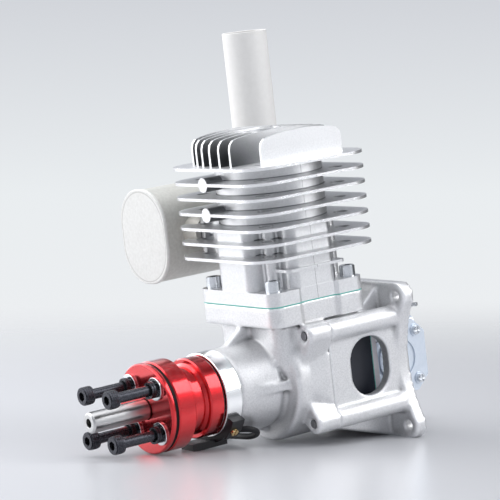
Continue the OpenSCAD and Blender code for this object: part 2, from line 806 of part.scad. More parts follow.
module muffler_can() {
    cap_t = 1.5;
    color([0.74, 0.73, 0.70])
    difference() {
        union() {
            difference() {
                yext(-can_front + cap_t, -can_front + can_len - cap_t) can_outline(0);
                yext(-can_front, -can_front + can_len) can_outline(-can_wall);
            }
            // Tubes that guide the key to the muffler screws
            for (s = [-1, 1])
                xcyl(muffler_screw_r + 1.9, -can_x - can_w / 2 + e, -can_inner_x - e, yc + s * muffler_screw_y, port_z);
        }
        for (s = [-1, 1])
            xcyl(muffler_screw_r + 1.1, -can_x - can_w / 2 - e, -can_inner_x + e, yc + s * muffler_screw_y, port_z);
        block([-can_inner_x - can_wall - e, yc - port_half_y, port_z - port_half_z],
              [-can_inner_x + e, yc + port_half_y, port_z + port_half_z]);
        zcyl(pipe_d / 2 + seat, can_z, can_z + can_h, -can_x, -pipe_y);
    }
}

// A pressed end cap with a rolled rim, its outer face at y0
module can_cap(y0, dir) {
    rim = 0.5;
    translate([0, y0, 0]) mirror([0, dir < 0 ? 1 : 0, 0]) {
        yext(0.5, 1.5) can_outline(rim);
        yext(0, 0.5) can_outline(rim - 0.4);
        yext(1.5, 3.1) difference() {
            can_outline(-can_wall - seat);
            can_outline(-can_wall - 1.2);
        }
    }
}

module muffler_front_cap() {
    color([0.76, 0.75, 0.72]) can_cap(-can_front, 1);
}

module muffler_rear_cap() {
    color([0.76, 0.75, 0.72]) can_cap(-can_front + can_len, -1);
}

module outlet_pipe() {
    can_top = can_z + can_h / 2;
    color([0.76, 0.75, 0.72])
    difference() {
        union() {
            zcyl(pipe_d / 2, can_top - 11, pipe_top, -can_x, -pipe_y);
            // Weld bead on the can
            zcyl(pipe_d / 2 + 0.8, can_top + seat, can_top + 1.4, -can_x, -pipe_y);
        }
        zcyl(pipe_d / 2 - pipe_wall, can_top - 12, pipe_top + e, -can_x, -pipe_y);
    }
}

module muffler_neck() {
    color([0.82, 0.82, 0.81])
    difference() {
        xext(-can_inner_x, -neck_x) translate([yc, port_z]) rrect(2 * neck_half_y, 2 * neck_half_z, neck_half_z - 0.1);
        block([-can_inner_x - e, yc - port_half_y, port_z - port_half_z],
              [-neck_x + e, yc + port_half_y, port_z + port_half_z]);
        for (s = [-1, 1]) {
            xcyl(muffler_screw_r + run, -can_inner_x - e, -neck_x + e, yc + s * muffler_screw_y, port_z);
            xcyl(muffler_screw_r + 1.1, -can_inner_x - e, -neck_x - 5, yc + s * muffler_screw_y, port_z);
        }
    }
}

module exhaust_gasket() {
    color([0.30, 0.30, 0.31])
    difference() {
        xext(-neck_x, -neck_x + exhaust_gasket_t) translate([yc, port_z])
            rrect(2 * neck_half_y - 6, 2 * neck_half_z, 4);
        block([-neck_x - e, yc - port_half_y, port_z - port_half_z],
              [-neck_x + exhaust_gasket_t + e, yc + port_half_y, port_z + port_half_z]);
        for (s = [-1, 1])
            xcyl(muffler_screw_r + run, -neck_x - e, -neck_x + exhaust_gasket_t + e, yc + s * muffler_screw_y, port_z);
    }
}

module muffler_screws() {
    seat_x = neck_x + 5;
    reach = 16;
    head_h = can_inner_x - seat_x - 1;
    color([0.20, 0.20, 0.21])
    for (s = [-1, 1]) translate([-seat_x - head_h, yc + s * muffler_screw_y, port_z]) rotate([0, 0, -90])
        socket_screw(muffler_screw_r, muffler_screw_r + 1, head_h, reach, 1.5);
}

// Sensor and its lead

// Part of a ring in X and Z, between two angles
module arc_band(r0, r1, a0, a1) {
    polygon(concat(arc(0, 0, r1, a0, a1, 24), arc(0, 0, r0, a1, a0, 24)));
}

module hall_sensor() {
    bar_x = 5;
    block_angle = 28;
    color([0.10, 0.10, 0.11])
    difference() {
        union() {
            yext(y_ring + 0.9, y_nose - 1.7) arc_band(ring_r + seat, ring_r + 2.9, sensor_a0, sensor_a1);
            yext(y_ring + 0.9, y_nose - 1.7) arc_band(ring_r + 1, ring_r + 4, sensor_a1 - block_angle, sensor_a1 + 0.8);
            // Sensing head under the hub's rear collar
            block([-bar_x, y_groove_rear - 3.5, -ring_r - 4.4], [bar_x, y_nose - 1.7, -ring_r - 0.8]);
        }
        rotate([0, sensor_screw_a, 0]) xcyl(1.05, ring_r - 1, ring_r + 6, y_ring + 3.2);
    }
}

module sensor_screw() {
    color([0.72, 0.60, 0.38])
    rotate([0, sensor_screw_a, 0]) difference() {
        union() {
            xcyl(1, ring_r + 0.3, ring_r + 4.1, y_ring + 3.2);
            xcyl(1.9, ring_r + 4.02, ring_r + 5.5, y_ring + 3.2);
        }
        translate([ring_r + 4.8, y_ring + 2.9, -2.5]) cube([1, 0.6, 5]);
    }
}

// A round cord swept along a route, as one closed solid
function unit(v) = v / norm(v);
function path_dir(p, i) = unit(p[min(i + 1, len(p) - 1)] - p[max(i - 1, 0)]);
module cord(p, r, sides = 8) {
    n = len(p);
    rings = [for (i = [0:n - 1]) let (
        d = path_dir(p, i),
        s = unit(cross(d, [0, 0, 1])),
        t = cross(s, d)
    ) for (k = [0:sides - 1]) let (a = 360 * k / sides) p[i] + r * (cos(a) * s + sin(a) * t)];
    sides_faces = [for (i = [0:n - 2], k = [0:sides - 1]) let (j = (k + 1) % sides)
        [i * sides + k, i * sides + j, (i + 1) * sides + j, (i + 1) * sides + k]];
    ends = [[for (k = [sides - 1:-1:0]) k], [for (k = [0:sides - 1]) (n - 1) * sides + k]];
    polyhedron(rings, concat(sides_faces, ends));
}

module sensor_lead() {
    color([0.09, 0.09, 0.10]) {
        cord(lead_route, lead_r);
        cord(tail_route, lead_r);
    }
}

// The resting plane below the coil, tilted with the engine at rest
module on_rest_plane() {
    translate([coil_x, coil_y, foot_z - coil_y * tan(rest_tilt)]) rotate([-rest_tilt, 0, 0]) children();
}

module lead_coil() {
    d = 2 * lead_r;
    color([0.09, 0.09, 0.10])
    on_rest_plane() translate([0, 0, coil_lift]) {
        rotate_extrude() translate([coil_r - lead_r, 0]) square([d, d]);
        rotate([0, 0, 1]) rotate_extrude(angle = 178) translate([coil_r - lead_r, d]) square([d, d]);
    }
}

module lead_tie() {
    d = 2 * lead_r;
    g = 0.15;
    wall = 0.5;
    color([0.15, 0.15, 0.16])
    on_rest_plane() translate([-1.2, coil_r, coil_lift]) difference() {
        translate([0, -lead_r - g - wall, -g - wall]) cube([2.4, d + 2 * (g + wall), 2 * d + 2 * (g + wall)]);
        translate([-e, -lead_r - g, -g]) cube([2.4 + 2 * e, d + 2 * g, 2 * d + 2 * g]);
    }
}

module lead_plug() {
    plug_z = foot_z - plug_y * tan(rest_tilt) + 0.15;
    color([0.10, 0.10, 0.11])
    translate([plug_x, plug_y, plug_z]) rotate([-rest_tilt, 0, 0]) difference() {
        translate([-plug_size[0] / 2, -plug_size[1] / 2, 0]) cube(plug_size);
        for (i = [-1:1]) translate([i * 2.54 - 0.7, -plug_size[1] / 2 - e, 1]) cube([1.4, 7, 1.4]);
    }
}

// Reed valve and manifold

// Hole pattern of the manifold screws
module at_manifold_screws() {
    for (sx = [-1, 1], sz = [-1, 1]) translate([sx * manifold_x, 0, carb_z + sz * manifold_z]) children();
}

// A plate of the manifold, with its duct and its holes
module manifold_plate(y0, y1, half_x, half_z, round) {
    difference() {
        yext(y0, y1) translate([0, carb_z]) rrect(2 * half_x, 2 * half_z, round);
        at_manifold_screws() ycyl(manifold_screw_r + run, y0 - e, y1 + e);
        for (s = [-1, 1]) ycyl(carb_screw_r + run, y0 - e, y1 + e, carb_screw_x, carb_z + s * carb_screw_z);
        children();
    }
}

module reed_block() {
    color([0.08, 0.08, 0.10])
    manifold_plate(block_front, y_reed_gasket, block_half_x, block_half_z, 2.5)
        block([-duct_half_x, block_front - e, carb_z - duct_half_z],
              [duct_half_x, y_reed_gasket + e, carb_z + duct_half_z]);
}

module reed_gasket() {
    color([0.20, 0.58, 0.52])
    manifold_plate(y_reed_gasket, y_adaptor, block_half_x, block_half_z, 2.5)
        block([-duct_half_x + 1, y_reed_gasket - e, carb_z - duct_half_z + 1],
              [duct_half_x - 1, y_adaptor + e, carb_z + duct_half_z - 1]);
}

module adaptor_plate() {
    color([0.62, 0.60, 0.60])
    difference() {
        manifold_plate(y_adaptor, y_carb_gasket, block_half_x, block_half_z, 2.5)
            ycyl(throttle_r, y_adaptor - e, y_carb_gasket + e, 0, carb_z);
        at_manifold_screws() ycyl(3.15, y_carb_gasket - 2.2, y_carb_gasket + e);
    }
}

module carb_gasket() {
    color([0.12, 0.12, 0.13])
    manifold_plate(y_carb_gasket, y_carb, carb_half_x - 0.5, carb_half_z - 0.5, 3)
        ycyl(throttle_r, y_carb_gasket - e, y_carb + e, 0, carb_z);
}

module manifold_screws() {
    color([0.60, 0.60, 0.62])
    at_manifold_screws() translate([0, y_carb_gasket - 0.1, 0]) rotate([0, 0, 180])
        socket_screw(manifold_screw_r, 3, 2, block_len + adaptor_t - 0.5, 1.4);
}

// Wedge of the reed cage in Y and Z, from its flange to its tip
cage_y0 = y_reed_gasket - 1.6;
cage_y1 = y_reed_gasket - 19;
cage_half = 8;
module cage_wedge(g) {
    polygon([[cage_y0, -cage_half - g], [cage_y1, -1.2 - g], [cage_y1, 1.2 + g], [cage_y0, cage_half + g]]);
}

module reed_cage() {
    color([0.70, 0.71, 0.72])
    translate([0, 0, carb_z]) difference() {
        union() {
            block([-duct_half_x + 0.3, cage_y0, -duct_half_z + 0.3],
                  [duct_half_x - 0.3, y_reed_gasket - seat, duct_half_z - 0.3]);
            xext(-11, 11) cage_wedge(0);
        }
        // Hollow wedge with two windows in each slope
        xext(-9.5, 9.5) polygon([[y_reed_gasket + e, -cage_half + 1.6], [cage_y1 + 5, -0.4],
                                 [cage_y1 + 5, 0.4], [y_reed_gasket + e, cage_half - 1.6]]);
        for (x = [-5, 5]) block([x - 3.6, cage_y1 + 5, -12], [x + 3.6, cage_y0 - 3, 12]);
    }
}

// A thin blade that lies along one slope of the cage, g above it and t thick
module slope_blade(g, t, y0, y1) {
    k = (cage_half - 1.2) / (cage_y0 - cage_y1);
    for (s = [-1, 1]) scale([1, 1, s]) xext(-9.8, 9.8) polygon([
        [y0, cage_half - k * (cage_y0 - y0) + g], [y1, cage_half - k * (cage_y0 - y1) + g],
        [y1, cage_half - k * (cage_y0 - y1) + g + t], [y0, cage_half - k * (cage_y0 - y0) + g + t]
    ]);
}

module reed_petals() {
    color([0.20, 0.20, 0.20])
    translate([0, 0, carb_z]) difference() {
        slope_blade(0.05, 0.25, cage_y0 - 0.5, cage_y1 + 1);
        block([-0.4, cage_y1, -12], [0.4, cage_y0 - 4, 12]);
    }
}

module reed_stops() {
    color([0.75, 0.76, 0.77])
    translate([0, 0, carb_z]) slope_blade(0.35, 0.8, cage_y0 - 0.5, cage_y1 + 6);
}

// Carburettor

module carb_body() {
    flange_len = 4;
    front_half_z = carb_front_half;
    pad_half = 14.2;
    // The body is taller behind this place, clear of the throttle's spring
    step_y = 1.6;
    color([0.62, 0.67, 0.74])
    difference() {
        union() {
            yext(y_carb, y_carb + flange_len) translate([0, carb_z]) rrect(2 * carb_half_x, 2 * front_half_z, 3.4);
            yext(y_carb + flange_len - e, step_y + e) translate([0, carb_z]) rrect(2 * carb_half_x - 3, 2 * front_half_z, 4);
            yext(step_y, carb_back) translate([0, carb_z]) rrect(2 * carb_half_x - 3, 2 * carb_half_z, 4);
            block([-carb_half_x, cover_y - pad_half, carb_z - pad_half],
                  [carb_half_x, cover_y + pad_half, carb_z + pad_half]);
            // Boss of the choke shaft
            zcyl(choke_shaft_r + 2, carb_bottom - 1, carb_top + 1, 0, choke_y);
        }
        ycyl(throttle_r, y_carb - e, (throttle_y + choke_y) / 2, 0, carb_z);
        ycyl(intake_r, (throttle_y + choke_y) / 2 - e, carb_back + e, 0, carb_z);
        zcyl(shaft_r + run, carb_bottom - e, carb_top + e, 0, throttle_y);
        zcyl(choke_shaft_r + run, carb_bottom - 2, carb_top + 2, 0, choke_y);
        for (s = [-1, 1]) ycyl(carb_screw_r + run, y_carb - e, carb_back + e, carb_screw_x, carb_z + s * carb_screw_z);
        for (sy = [-1, 1], sz = [-1, 1])
            xcyl(1.25, carb_half_x - 5, carb_half_x + e, cover_y + sy * cover_screw, carb_z + sz * cover_screw);
        xcyl(1.25, -carb_half_x - e, -carb_half_x + 5, cover_y, carb_z);
        for (y = [2, 10]) zcyl(1.3, carb_top - 9, carb_top + e, 9.5, y);
        zcyl(1.5, carb_bottom - e, carb_bottom + 6, 9, 8);
    }
}

// Outline of the metering cover, a square with cut corners that stops short of the manifold
module cover_outline() {
    h = cover_half;
    k = cover_half - cover_cut;
    intersection() {
        translate([cover_y, carb_z]) offset(r = 1) offset(delta = -1)
            polygon([[-h, -k], [-k, -h], [k, -h], [h, -k], [h, k], [k, h], [-k, h], [-h, k]]);
        translate([y_carb + 0.4, carb_z - h]) square([3 * h, 2 * h]);
    }
}

module metering_cover() {
    disc_r = 12.4;
    color([0.66, 0.71, 0.78])
    difference() {
        union() {
            xext(carb_half_x, carb_half_x + cover_t - 1) cover_outline();
            xcyl(disc_r, carb_half_x + 0.5, carb_half_x + cover_t, cover_y, carb_z);
            for (sy = [-1, 1], sz = [-1, 1])
                xcyl(3.1, carb_half_x + 0.5, carb_half_x + cover_t - 0.4, cover_y + sy * cover_screw, carb_z + sz * cover_screw);
        }
        xcyl(disc_r - 2.4, carb_half_x + cover_t - 0.7, carb_half_x + cover_t + e, cover_y, carb_z);
        xcyl(1.2, carb_half_x - e, carb_half_x + cover_t + e, cover_y + 2, carb_z + 2);
        for (sy = [-1, 1], sz = [-1, 1])
            xcyl(1.25, carb_half_x - e, carb_half_x + cover_t + e, cover_y + sy * cover_screw, carb_z + sz * cover_screw);
    }
}

module pump_cover() {
    color([0.66, 0.71, 0.78])
    difference() {
        union() {
            xext(-carb_half_x - 2.4, -carb_half_x) translate([cover_y, carb_z])
                rrect(28, 28, 5);
            xcyl(7, -carb_half_x - pump_t, -carb_half_x - 2, cover_y, carb_z);
        }
        xcyl(1.25, -carb_half_x - 5, -carb_half_x + e, cover_y, carb_z);
    }
}

// A pan-head screw along -X, with its head seated at x = 0
module pan_screw(len) {
    difference() {
        union() {
            xcyl(2.2, 0, 1.2);
            xcyl(1.7, 1.1, 1.9);
            xcyl(1.2, -len, 0.1);
        }
        translate([1.2, -0.35, -3]) cube([1, 0.7, 6]);
        translate([1.2, -3, -0.35]) cube([1, 6, 0.7]);
    }
}

module cover_screws() {
    color([0.76, 0.74, 0.66]) {
        for (sy = [-1, 1], sz = [-1, 1])
            translate([carb_half_x + cover_t - 0.4, cover_y + sy * cover_screw, carb_z + sz * cover_screw])
                pan_screw(6.5);
        translate([-carb_half_x - pump_t, cover_y, carb_z]) rotate([0, 0, 180]) pan_screw(8);
    }
}

module carb_screws() {
    color([0.25, 0.25, 0.26])
    for (s = [-1, 1]) translate([carb_screw_x, carb_back + carb_screw_head_h, carb_z + s * carb_screw_z])
        rotate([0, 0, 180]) socket_screw(carb_screw_r, 4, carb_screw_head_h, carb_back - y_carb + 12, 2);
}

module mixture_needles() {
    color([0.72, 0.56, 0.28])
    for (y = [2, 10]) translate([9.5, y, 0]) difference() {
        union() {
            zcyl(1.25, carb_top - 8.5, carb_top + 1);
            zcyl(2.1, carb_top + 0.3, carb_top + 3.2);
        }
        translate([-3, -0.3, carb_top + 2.4]) cube([6, 0.6, 2]);
    }
}

module fuel_inlet() {
    color([0.74, 0.60, 0.32])
    translate([9, 8, 0]) difference() {
        union() {
            zcyl(1.45, carb_bottom - 1, carb_bottom + 5);
            zcyl(2.6, carb_bottom - 2.2, carb_bottom - 0.02);
            zcyl(1.7, carb_bottom - 9, carb_bottom - 2);
            for (i = [0:2]) translate([0, 0, carb_bottom - 9 + 2.2 * i]) cylinder(r1 = 1.7, r2 = 2.3, h = 1.6, $fn = 32);
        }
        zcyl(0.9, carb_bottom - 9 - e, carb_bottom + 5 + e);
    }
}

// Coils of the throttle's return spring, around its shaft
module throttle_spring() {
    wire_r = 0.4;
    color([0.62, 0.62, 0.64])
    for (i = [0:2]) translate([0, throttle_y, carb_z + carb_front_half + wire_r + seat + (2 * wire_r + seat) * i])
        rotate_extrude() translate([shaft_r + wire_r + 0.3, 0]) circle(r = wire_r, $fn = 16);
}

module throttle_shaft() {
    lever_z = carb_z + carb_front_half + 2.8;
    lever_t = 1.3;
    lever_len = 12;
    color([0.66, 0.64, 0.55])
    translate([0, throttle_y, 0]) {
        zcyl(shaft_r, carb_z - carb_front_half - 0.2, lever_z + lever_t);
        // Butterfly plate, closed at rest
        translate([0, -0.5, carb_z]) rotate([-90, 0, 0]) cylinder(r = throttle_r - 0.35, h = 1);
        // Lever with its ball hole
        zext(lever_z, lever_z + lever_t) difference() {
            union() {
                circle(r = 4.6);
                translate([-lever_len, -2.4]) square([lever_len, 4.8]);
            }
            translate([2 - lever_len, 0]) circle(r = 1);
        }
    }
}

module choke_shaft() {
    lever_z = carb_top + 3.8;
    lever_t = 1.4;
    color([0.34, 0.30, 0.22])
    translate([0, choke_y, 0]) {
        zcyl(choke_shaft_r, carb_bottom - 2, lever_z + lever_t);
        // Choke plate, open at rest
        xcyl(intake_r - 0.4, -0.5, 0.5, 0, carb_z);
        zext(lever_z, lever_z + lever_t) {
            circle(r = 3.8);
            rotate(44) translate([0, -2]) square([16.5, 4]);
        }
        zcyl(3.4, carb_bottom - 2.8, carb_bottom - 1.3);
    }
}

// Crankshaft and what turns with it

module crankshaft() {
    y_web_front = web_y - web_t;
    key_y = (y_groove_rear + y_groove_front) / 2;
    color([0.70, 0.71, 0.73])
    difference() {
        union() {
            ycyl(web_r, y_web_front, web_y);
            ycyl(journal_r + 2, y_web_front - 0.85, y_web_front + e);
            ycyl(journal_r, y_ring + 0.5, y_web_front);
            ycyl(hub_bore_r, y_hub_front + 4.5, y_ring + 1);
            ycyl(3, y_hub_front - 10, y_hub_front + 5);
        }
        // Eye for the crank pin, and the lightening cuts beside it
        ycyl(crank_pin_d / 2 + 0.02, y_web_front - e, web_y + e, 0, -crank_r);
        for (s = [-1, 1]) rotate([0, s * 62, 0]) translate([0, 0, -web_r]) ycyl(8, y_web_front - e, web_y + e);
        block([-1.5, key_y - 6, hub_bore_r - 1.5], [1.5, key_y + 6, hub_bore_r + e]);
    }
}

module bearing_inners() {
    color([0.74, 0.75, 0.77]) {
        inner_race(front_bearing_r, front_bearing_w, front_bearing_y + front_bearing_w);
        inner_race(rear_bearing_r, rear_bearing_w, rear_bearing_y + rear_bearing_w);
    }
}

module hub_key() {
    key_y = (y_groove_rear + y_groove_front) / 2;
    color([0.60, 0.60, 0.62])
    block([-1.5 + seat, key_y - 6 + seat, hub_bore_r - 1.5 + seat], [1.5 - seat, key_y + 6 - seat, hub_bore_r + 1.4]);
}

// Places of the four propeller bolts
module at_prop_bolts() {
    for (a = [45:90:315]) translate([prop_pcd / 2 * cos(a), 0, prop_pcd / 2 * sin(a)]) children();
}

module prop_hub() {
    c = 0.6;
    key_y = (y_groove_rear + y_groove_front) / 2;
    color([0.80, 0.07, 0.08])
    difference() {
        yturn() polygon([
            [hub_bore_r + seat, y_hub_front + 4], [9, y_hub_front + 4], [9, y_hub_front],
            [hub_r - c, y_hub_front], [hub_r, y_hub_front + c], [hub_r, y_groove_front - c],
            [hub_r - c, y_groove_front], [groove_step_r, y_groove_front], [groove_step_r, y_groove_front + 2.6],
            [groove_r, y_groove_front + 2.6], [groove_r, y_groove_rear - 1.2], [groove_r + 1.2, y_groove_rear],
            [hub_rear_r - c, y_groove_rear], [hub_rear_r, y_groove_rear + c], [hub_rear_r, y_hub - 0.4],
            [hub_rear_r - 0.4, y_hub], [journal_r + 1.5, y_hub], [journal_r + 1.5, y_hub + 0.02],
            [hub_bore_r + seat, y_hub]
        ]);
        at_prop_bolts() ycyl(prop_bolt_d / 2 + run, y_hub_front - e, y_groove_front + 2.7);
        block([-1.5, key_y - 6, 0], [1.5, y_hub + e, hub_bore_r + 1.5]);
        // Pocket of the sensor magnet
        xcyl(2 + seat, -hub_rear_r - e, -hub_rear_r + 3, (y_hub + y_groove_rear) / 2);
    }
}

module sensor_magnet() {
    color([0.55, 0.56, 0.58])
    xcyl(2, -hub_rear_r + 0.3, -hub_rear_r + 3, (y_hub + y_groove_rear) / 2);
}

module drive_ring() {
    color([0.06, 0.06, 0.07])
    difference() {
        yturn() translate([stud_d / 2 + 4, y_drive_ring]) square([hub_r - 0.7 - stud_d / 2 - 4, drive_ring_t]);
        at_prop_bolts() ycyl(prop_bolt_d / 2 + 0.1, y_drive_ring - e, y_hub_front + e);
    }
}

module prop_washer() {
    c = 0.5;
    color([0.80, 0.07, 0.08])
    difference() {
        yturn() polygon([
            [stud_d / 2 + run, y_washer], [hub_r - c, y_washer], [hub_r, y_washer + c],
            [hub_r, y_drive_ring - c], [hub_r - c, y_drive_ring], [stud_d / 2 + run, y_drive_ring]
        ]);
        at_prop_bolts() ycyl(prop_bolt_d / 2 + 0.1, y_washer - e, y_drive_ring + e);
    }
}

module prop_bolts() {
    reach = y_groove_front - y_bolt_tip - 1;
    color([0.07, 0.07, 0.08])
    at_prop_bolts() translate([0, y_bolt_tip, 0])
        socket_screw(prop_bolt_d / 2, prop_head_d / 2, bolt_boss_h, reach - bolt_boss_h, 2.3);
}

module flat_washers() {
    color([0.82, 0.83, 0.84])
    at_prop_bolts() difference() {
        ycyl(5.5, y_washer - 1, y_washer);
        ycyl(prop_bolt_d / 2 + 0.15, y_washer - 1 - e, y_washer + e);
    }
}

module spring_washers() {
    color([0.08, 0.08, 0.09])
    at_prop_bolts() difference() {
        ycyl(4.2, y_washer - 2.4, y_washer - 1);
        ycyl(prop_bolt_d / 2 + 0.1, y_washer - 2.4 - e, y_washer - 1 + e);
        // The split of the ring
        block([2, y_washer - 2.4 - e, -0.4], [6, y_washer - 1 + e, 0.4]);
    }
}

module prop_stud() {
    c = 0.8;
    color([0.84, 0.84, 0.85])
    difference() {
        yturn() polygon([
            [0, y_stud_tip], [stud_d / 2 - c, y_stud_tip], [stud_d / 2, y_stud_tip + c],
            [stud_d / 2, y_washer - 0.6], [stud_d / 2 - 0.4, y_washer - 0.2],
            [stud_d / 2 - 0.4, y_hub_front], [8.8, y_hub_front], [8.8, y_hub_front + 4 - seat], [0, y_hub_front + 4 - seat]
        ]);
        ycyl(3 + run, y_hub_front - 11, y_hub_front + 5);
        ycyl(2.1, y_stud_tip - e, y_stud_tip + 10);
    }
}

// Piston and connecting rod

module piston() {
    r = bore_r - 0.08;
    wall = 2;
    crown_t = 4;
    boss = wrist_d / 2 + 2.6;
    color([0.72, 0.72, 0.73])
    translate([0, yc, 0]) difference() {
        union() {
            difference() {
                zcyl(r, wrist_z - skirt_h, crown_z);
                zcyl(r - wall, wrist_z - skirt_h - e, crown_z - crown_t);
            }
            // Bosses for the wrist pin
            intersection() {
                union() for (s = [-1, 1]) block([-boss, s > 0 ? 5.2 : -r, wrist_z - boss + 1],
                                                [boss, s > 0 ? r : -5.2, crown_z - crown_t + e]);
                zcyl(r - 1, wrist_z - skirt_h, crown_z);
            }
        }
        for (z = [crown_z - 4.2, crown_z - 7.4]) difference() {
            zcyl(r + e, z, z + 1.3);
            zcyl(r - 1.7, z - e, z + 1.4);
        }
        ycyl(wrist_d / 2 + seat, -r - e, r + e, 0, wrist_z);
    }
}

module piston_rings() {
    color([0.45, 0.45, 0.46])
    translate([0, yc, 0]) for (z = [crown_z - 4.15, crown_z - 7.35]) difference() {
        zcyl(bore_r - 0.03, z, z + 1.2);
        zcyl(bore_r - 1.6, z - e, z + 1.3);
        // The ring's gap
        block([bore_r - 3, -0.15, z - e], [bore_r + 1, 0.15, z + 1.3]);
    }
}

module wrist_pin() {
    half = bore_r - 3.6;
    color([0.74, 0.75, 0.77])
    difference() {
        ycyl(wrist_d / 2, yc - half, yc + half, 0, wrist_z);
        ycyl(wrist_d / 2 - 2, yc - half - e, yc + half + e, 0, wrist_z);
    }
}

module circlips() {
    half = bore_r - 3.6;
    color([0.50, 0.50, 0.52])
    for (y = [yc - half - 0.85, yc + half + 0.05]) difference() {
        ycyl(wrist_d / 2 - 0.02, y, y + 0.8, 0, wrist_z);
        ycyl(wrist_d / 2 - 0.9, y - e, y + 0.9, 0, wrist_z);
        block([-1.5, y - e, wrist_z - 6], [1.5, y + 0.9, wrist_z - 2]);
    }
}

module connecting_rod() {
    pin_z = wrist_z - rod_len;
    shank_half = 3.6;
    color([0.55, 0.55, 0.57])
    difference() {
        union() {
            ycyl(big_end_r, yc - rod_w / 2, yc + rod_w / 2, 0, pin_z);
            ycyl(small_end_r, yc - rod_w / 2, yc + rod_w / 2, 0, wrist_z);
            yext(yc - rod_w / 2 + 1, yc + rod_w / 2 - 1) polygon([
                [-shank_half - 1.6, pin_z + 6], [shank_half + 1.6, pin_z + 6],
                [shank_half, wrist_z - 6], [-shank_half, wrist_z - 6]
            ]);
        }
        // Pockets that leave an I section
        for (s = [0, 1]) yext(s == 0 ? yc - rod_w / 2 : yc + 1.2, s == 0 ? yc - 1.2 : yc + rod_w / 2) polygon([
            [-shank_half, pin_z + big_end_r + 2], [shank_half, pin_z + big_end_r + 2],
            [shank_half - 1.6, wrist_z - small_end_r - 2], [-shank_half + 1.6, wrist_z - small_end_r - 2]
        ]);
        ycyl(crank_pin_d / 2 + 2, yc - rod_w / 2 - e, yc + rod_w / 2 + e, 0, pin_z);
        ycyl(wrist_d / 2 + 2, yc - rod_w / 2 - e, yc + rod_w / 2 + e, 0, wrist_z);
    }
}

module crank_pin() {
    pin_z = wrist_z - rod_len;
    color([0.74, 0.75, 0.77])
    ycyl(crank_pin_d / 2, web_y + 0.3, yc + rod_w / 2 + 0.8, 0, pin_z);
}

// Caged needles around the crank pin and the wrist pin
module rod_bearings() {
    n = 12;
    needle_r = 0.95;
    color([0.78, 0.79, 0.81])
    for (c = [[wrist_z - rod_len, crank_pin_d / 2], [wrist_z, wrist_d / 2]]) translate([0, 0, c[0]]) {
        difference() {
            ycyl(c[1] + 1.4, yc - rod_w / 2 + 0.3, yc + rod_w / 2 - 0.3);
            ycyl(c[1] + 0.6, yc - rod_w / 2 - e, yc + rod_w / 2 + e);
            for (i = [0:n - 1]) rotate([0, i * 360 / n, 0])
                ycyl(needle_r, yc - rod_w / 2 + 1, yc + rod_w / 2 - 1, c[1] + 1);
        }
        for (i = [0:n - 1]) rotate([0, i * 360 / n, 0])
            ycyl(needle_r - 0.03, yc - rod_w / 2 + 1.05, yc + rod_w / 2 - 1.05, c[1] + 1);
    }
}

crankcase();
nose_ring();
rear_housing();
housing_screws();
base_gasket();
finned_cylinder();
cylinder_screws();
front_bearing_outer();
rear_bearing_outer();
bearing_balls();
oil_seal();
muffler_can();
muffler_front_cap();
muffler_rear_cap();
outlet_pipe();
muffler_neck();
exhaust_gasket();
muffler_screws();
hall_sensor();
sensor_screw();
sensor_lead();
lead_coil();
lead_tie();
lead_plug();
reed_block();
reed_cage();
reed_petals();
reed_stops();
reed_gasket();
adaptor_plate();
manifold_screws();
carb_gasket();
carb_body();
metering_cover();
pump_cover();
cover_screws();
carb_screws();
mixture_needles();
fuel_inlet();
throttle_spring();
throttle_shaft();
choke_shaft();
crankshaft();
bearing_inners();
hub_key();
prop_hub();
sensor_magnet();
drive_ring();
prop_washer();
prop_bolts();
spring_washers();
flat_washers();
prop_stud();
piston();
piston_rings();
wrist_pin();
circlips();
connecting_rod();
crank_pin();
rod_bearings();
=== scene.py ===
# %% [markdown]
# # Model aircraft engine
# A single-cylinder two-stroke engine stands on a pale studio table. The CAD model gives every rigid piece
# its size and place, in metres. This script gives the pieces their cast, turned and anodised finishes, rounds
# the castings, and adds the small forms that CAD leaves plain, such as knurls and the lead's turns.

# %% Load the frame
import json
import math

import bmesh
import bpy
from mathutils import Matrix, Vector


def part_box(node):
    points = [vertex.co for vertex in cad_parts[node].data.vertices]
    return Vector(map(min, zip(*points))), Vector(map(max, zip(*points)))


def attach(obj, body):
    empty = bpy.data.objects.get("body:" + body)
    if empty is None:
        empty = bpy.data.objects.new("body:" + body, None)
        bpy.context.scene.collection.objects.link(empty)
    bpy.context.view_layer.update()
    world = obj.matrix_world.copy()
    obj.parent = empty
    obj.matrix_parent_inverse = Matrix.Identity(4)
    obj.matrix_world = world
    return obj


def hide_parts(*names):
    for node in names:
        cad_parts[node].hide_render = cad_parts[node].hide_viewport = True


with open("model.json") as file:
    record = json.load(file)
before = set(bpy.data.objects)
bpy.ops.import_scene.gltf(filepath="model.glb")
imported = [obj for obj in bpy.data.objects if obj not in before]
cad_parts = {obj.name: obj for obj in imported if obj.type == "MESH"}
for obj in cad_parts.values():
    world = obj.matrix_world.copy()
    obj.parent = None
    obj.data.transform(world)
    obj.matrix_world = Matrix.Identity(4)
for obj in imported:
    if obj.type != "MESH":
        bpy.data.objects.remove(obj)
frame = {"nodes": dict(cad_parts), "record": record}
nodes = frame["nodes"]
scene = bpy.context.scene
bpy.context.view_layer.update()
mm = 0.001

# %% [markdown]
# ## Camera
# The photograph was taken with a long lens from the propeller side, a little above the crank axis. The
# camera's place and turn were fitted to the round hub, the straight fins and the flange holes, so here they
# are numbers. A long lens keeps the fins nearly parallel.

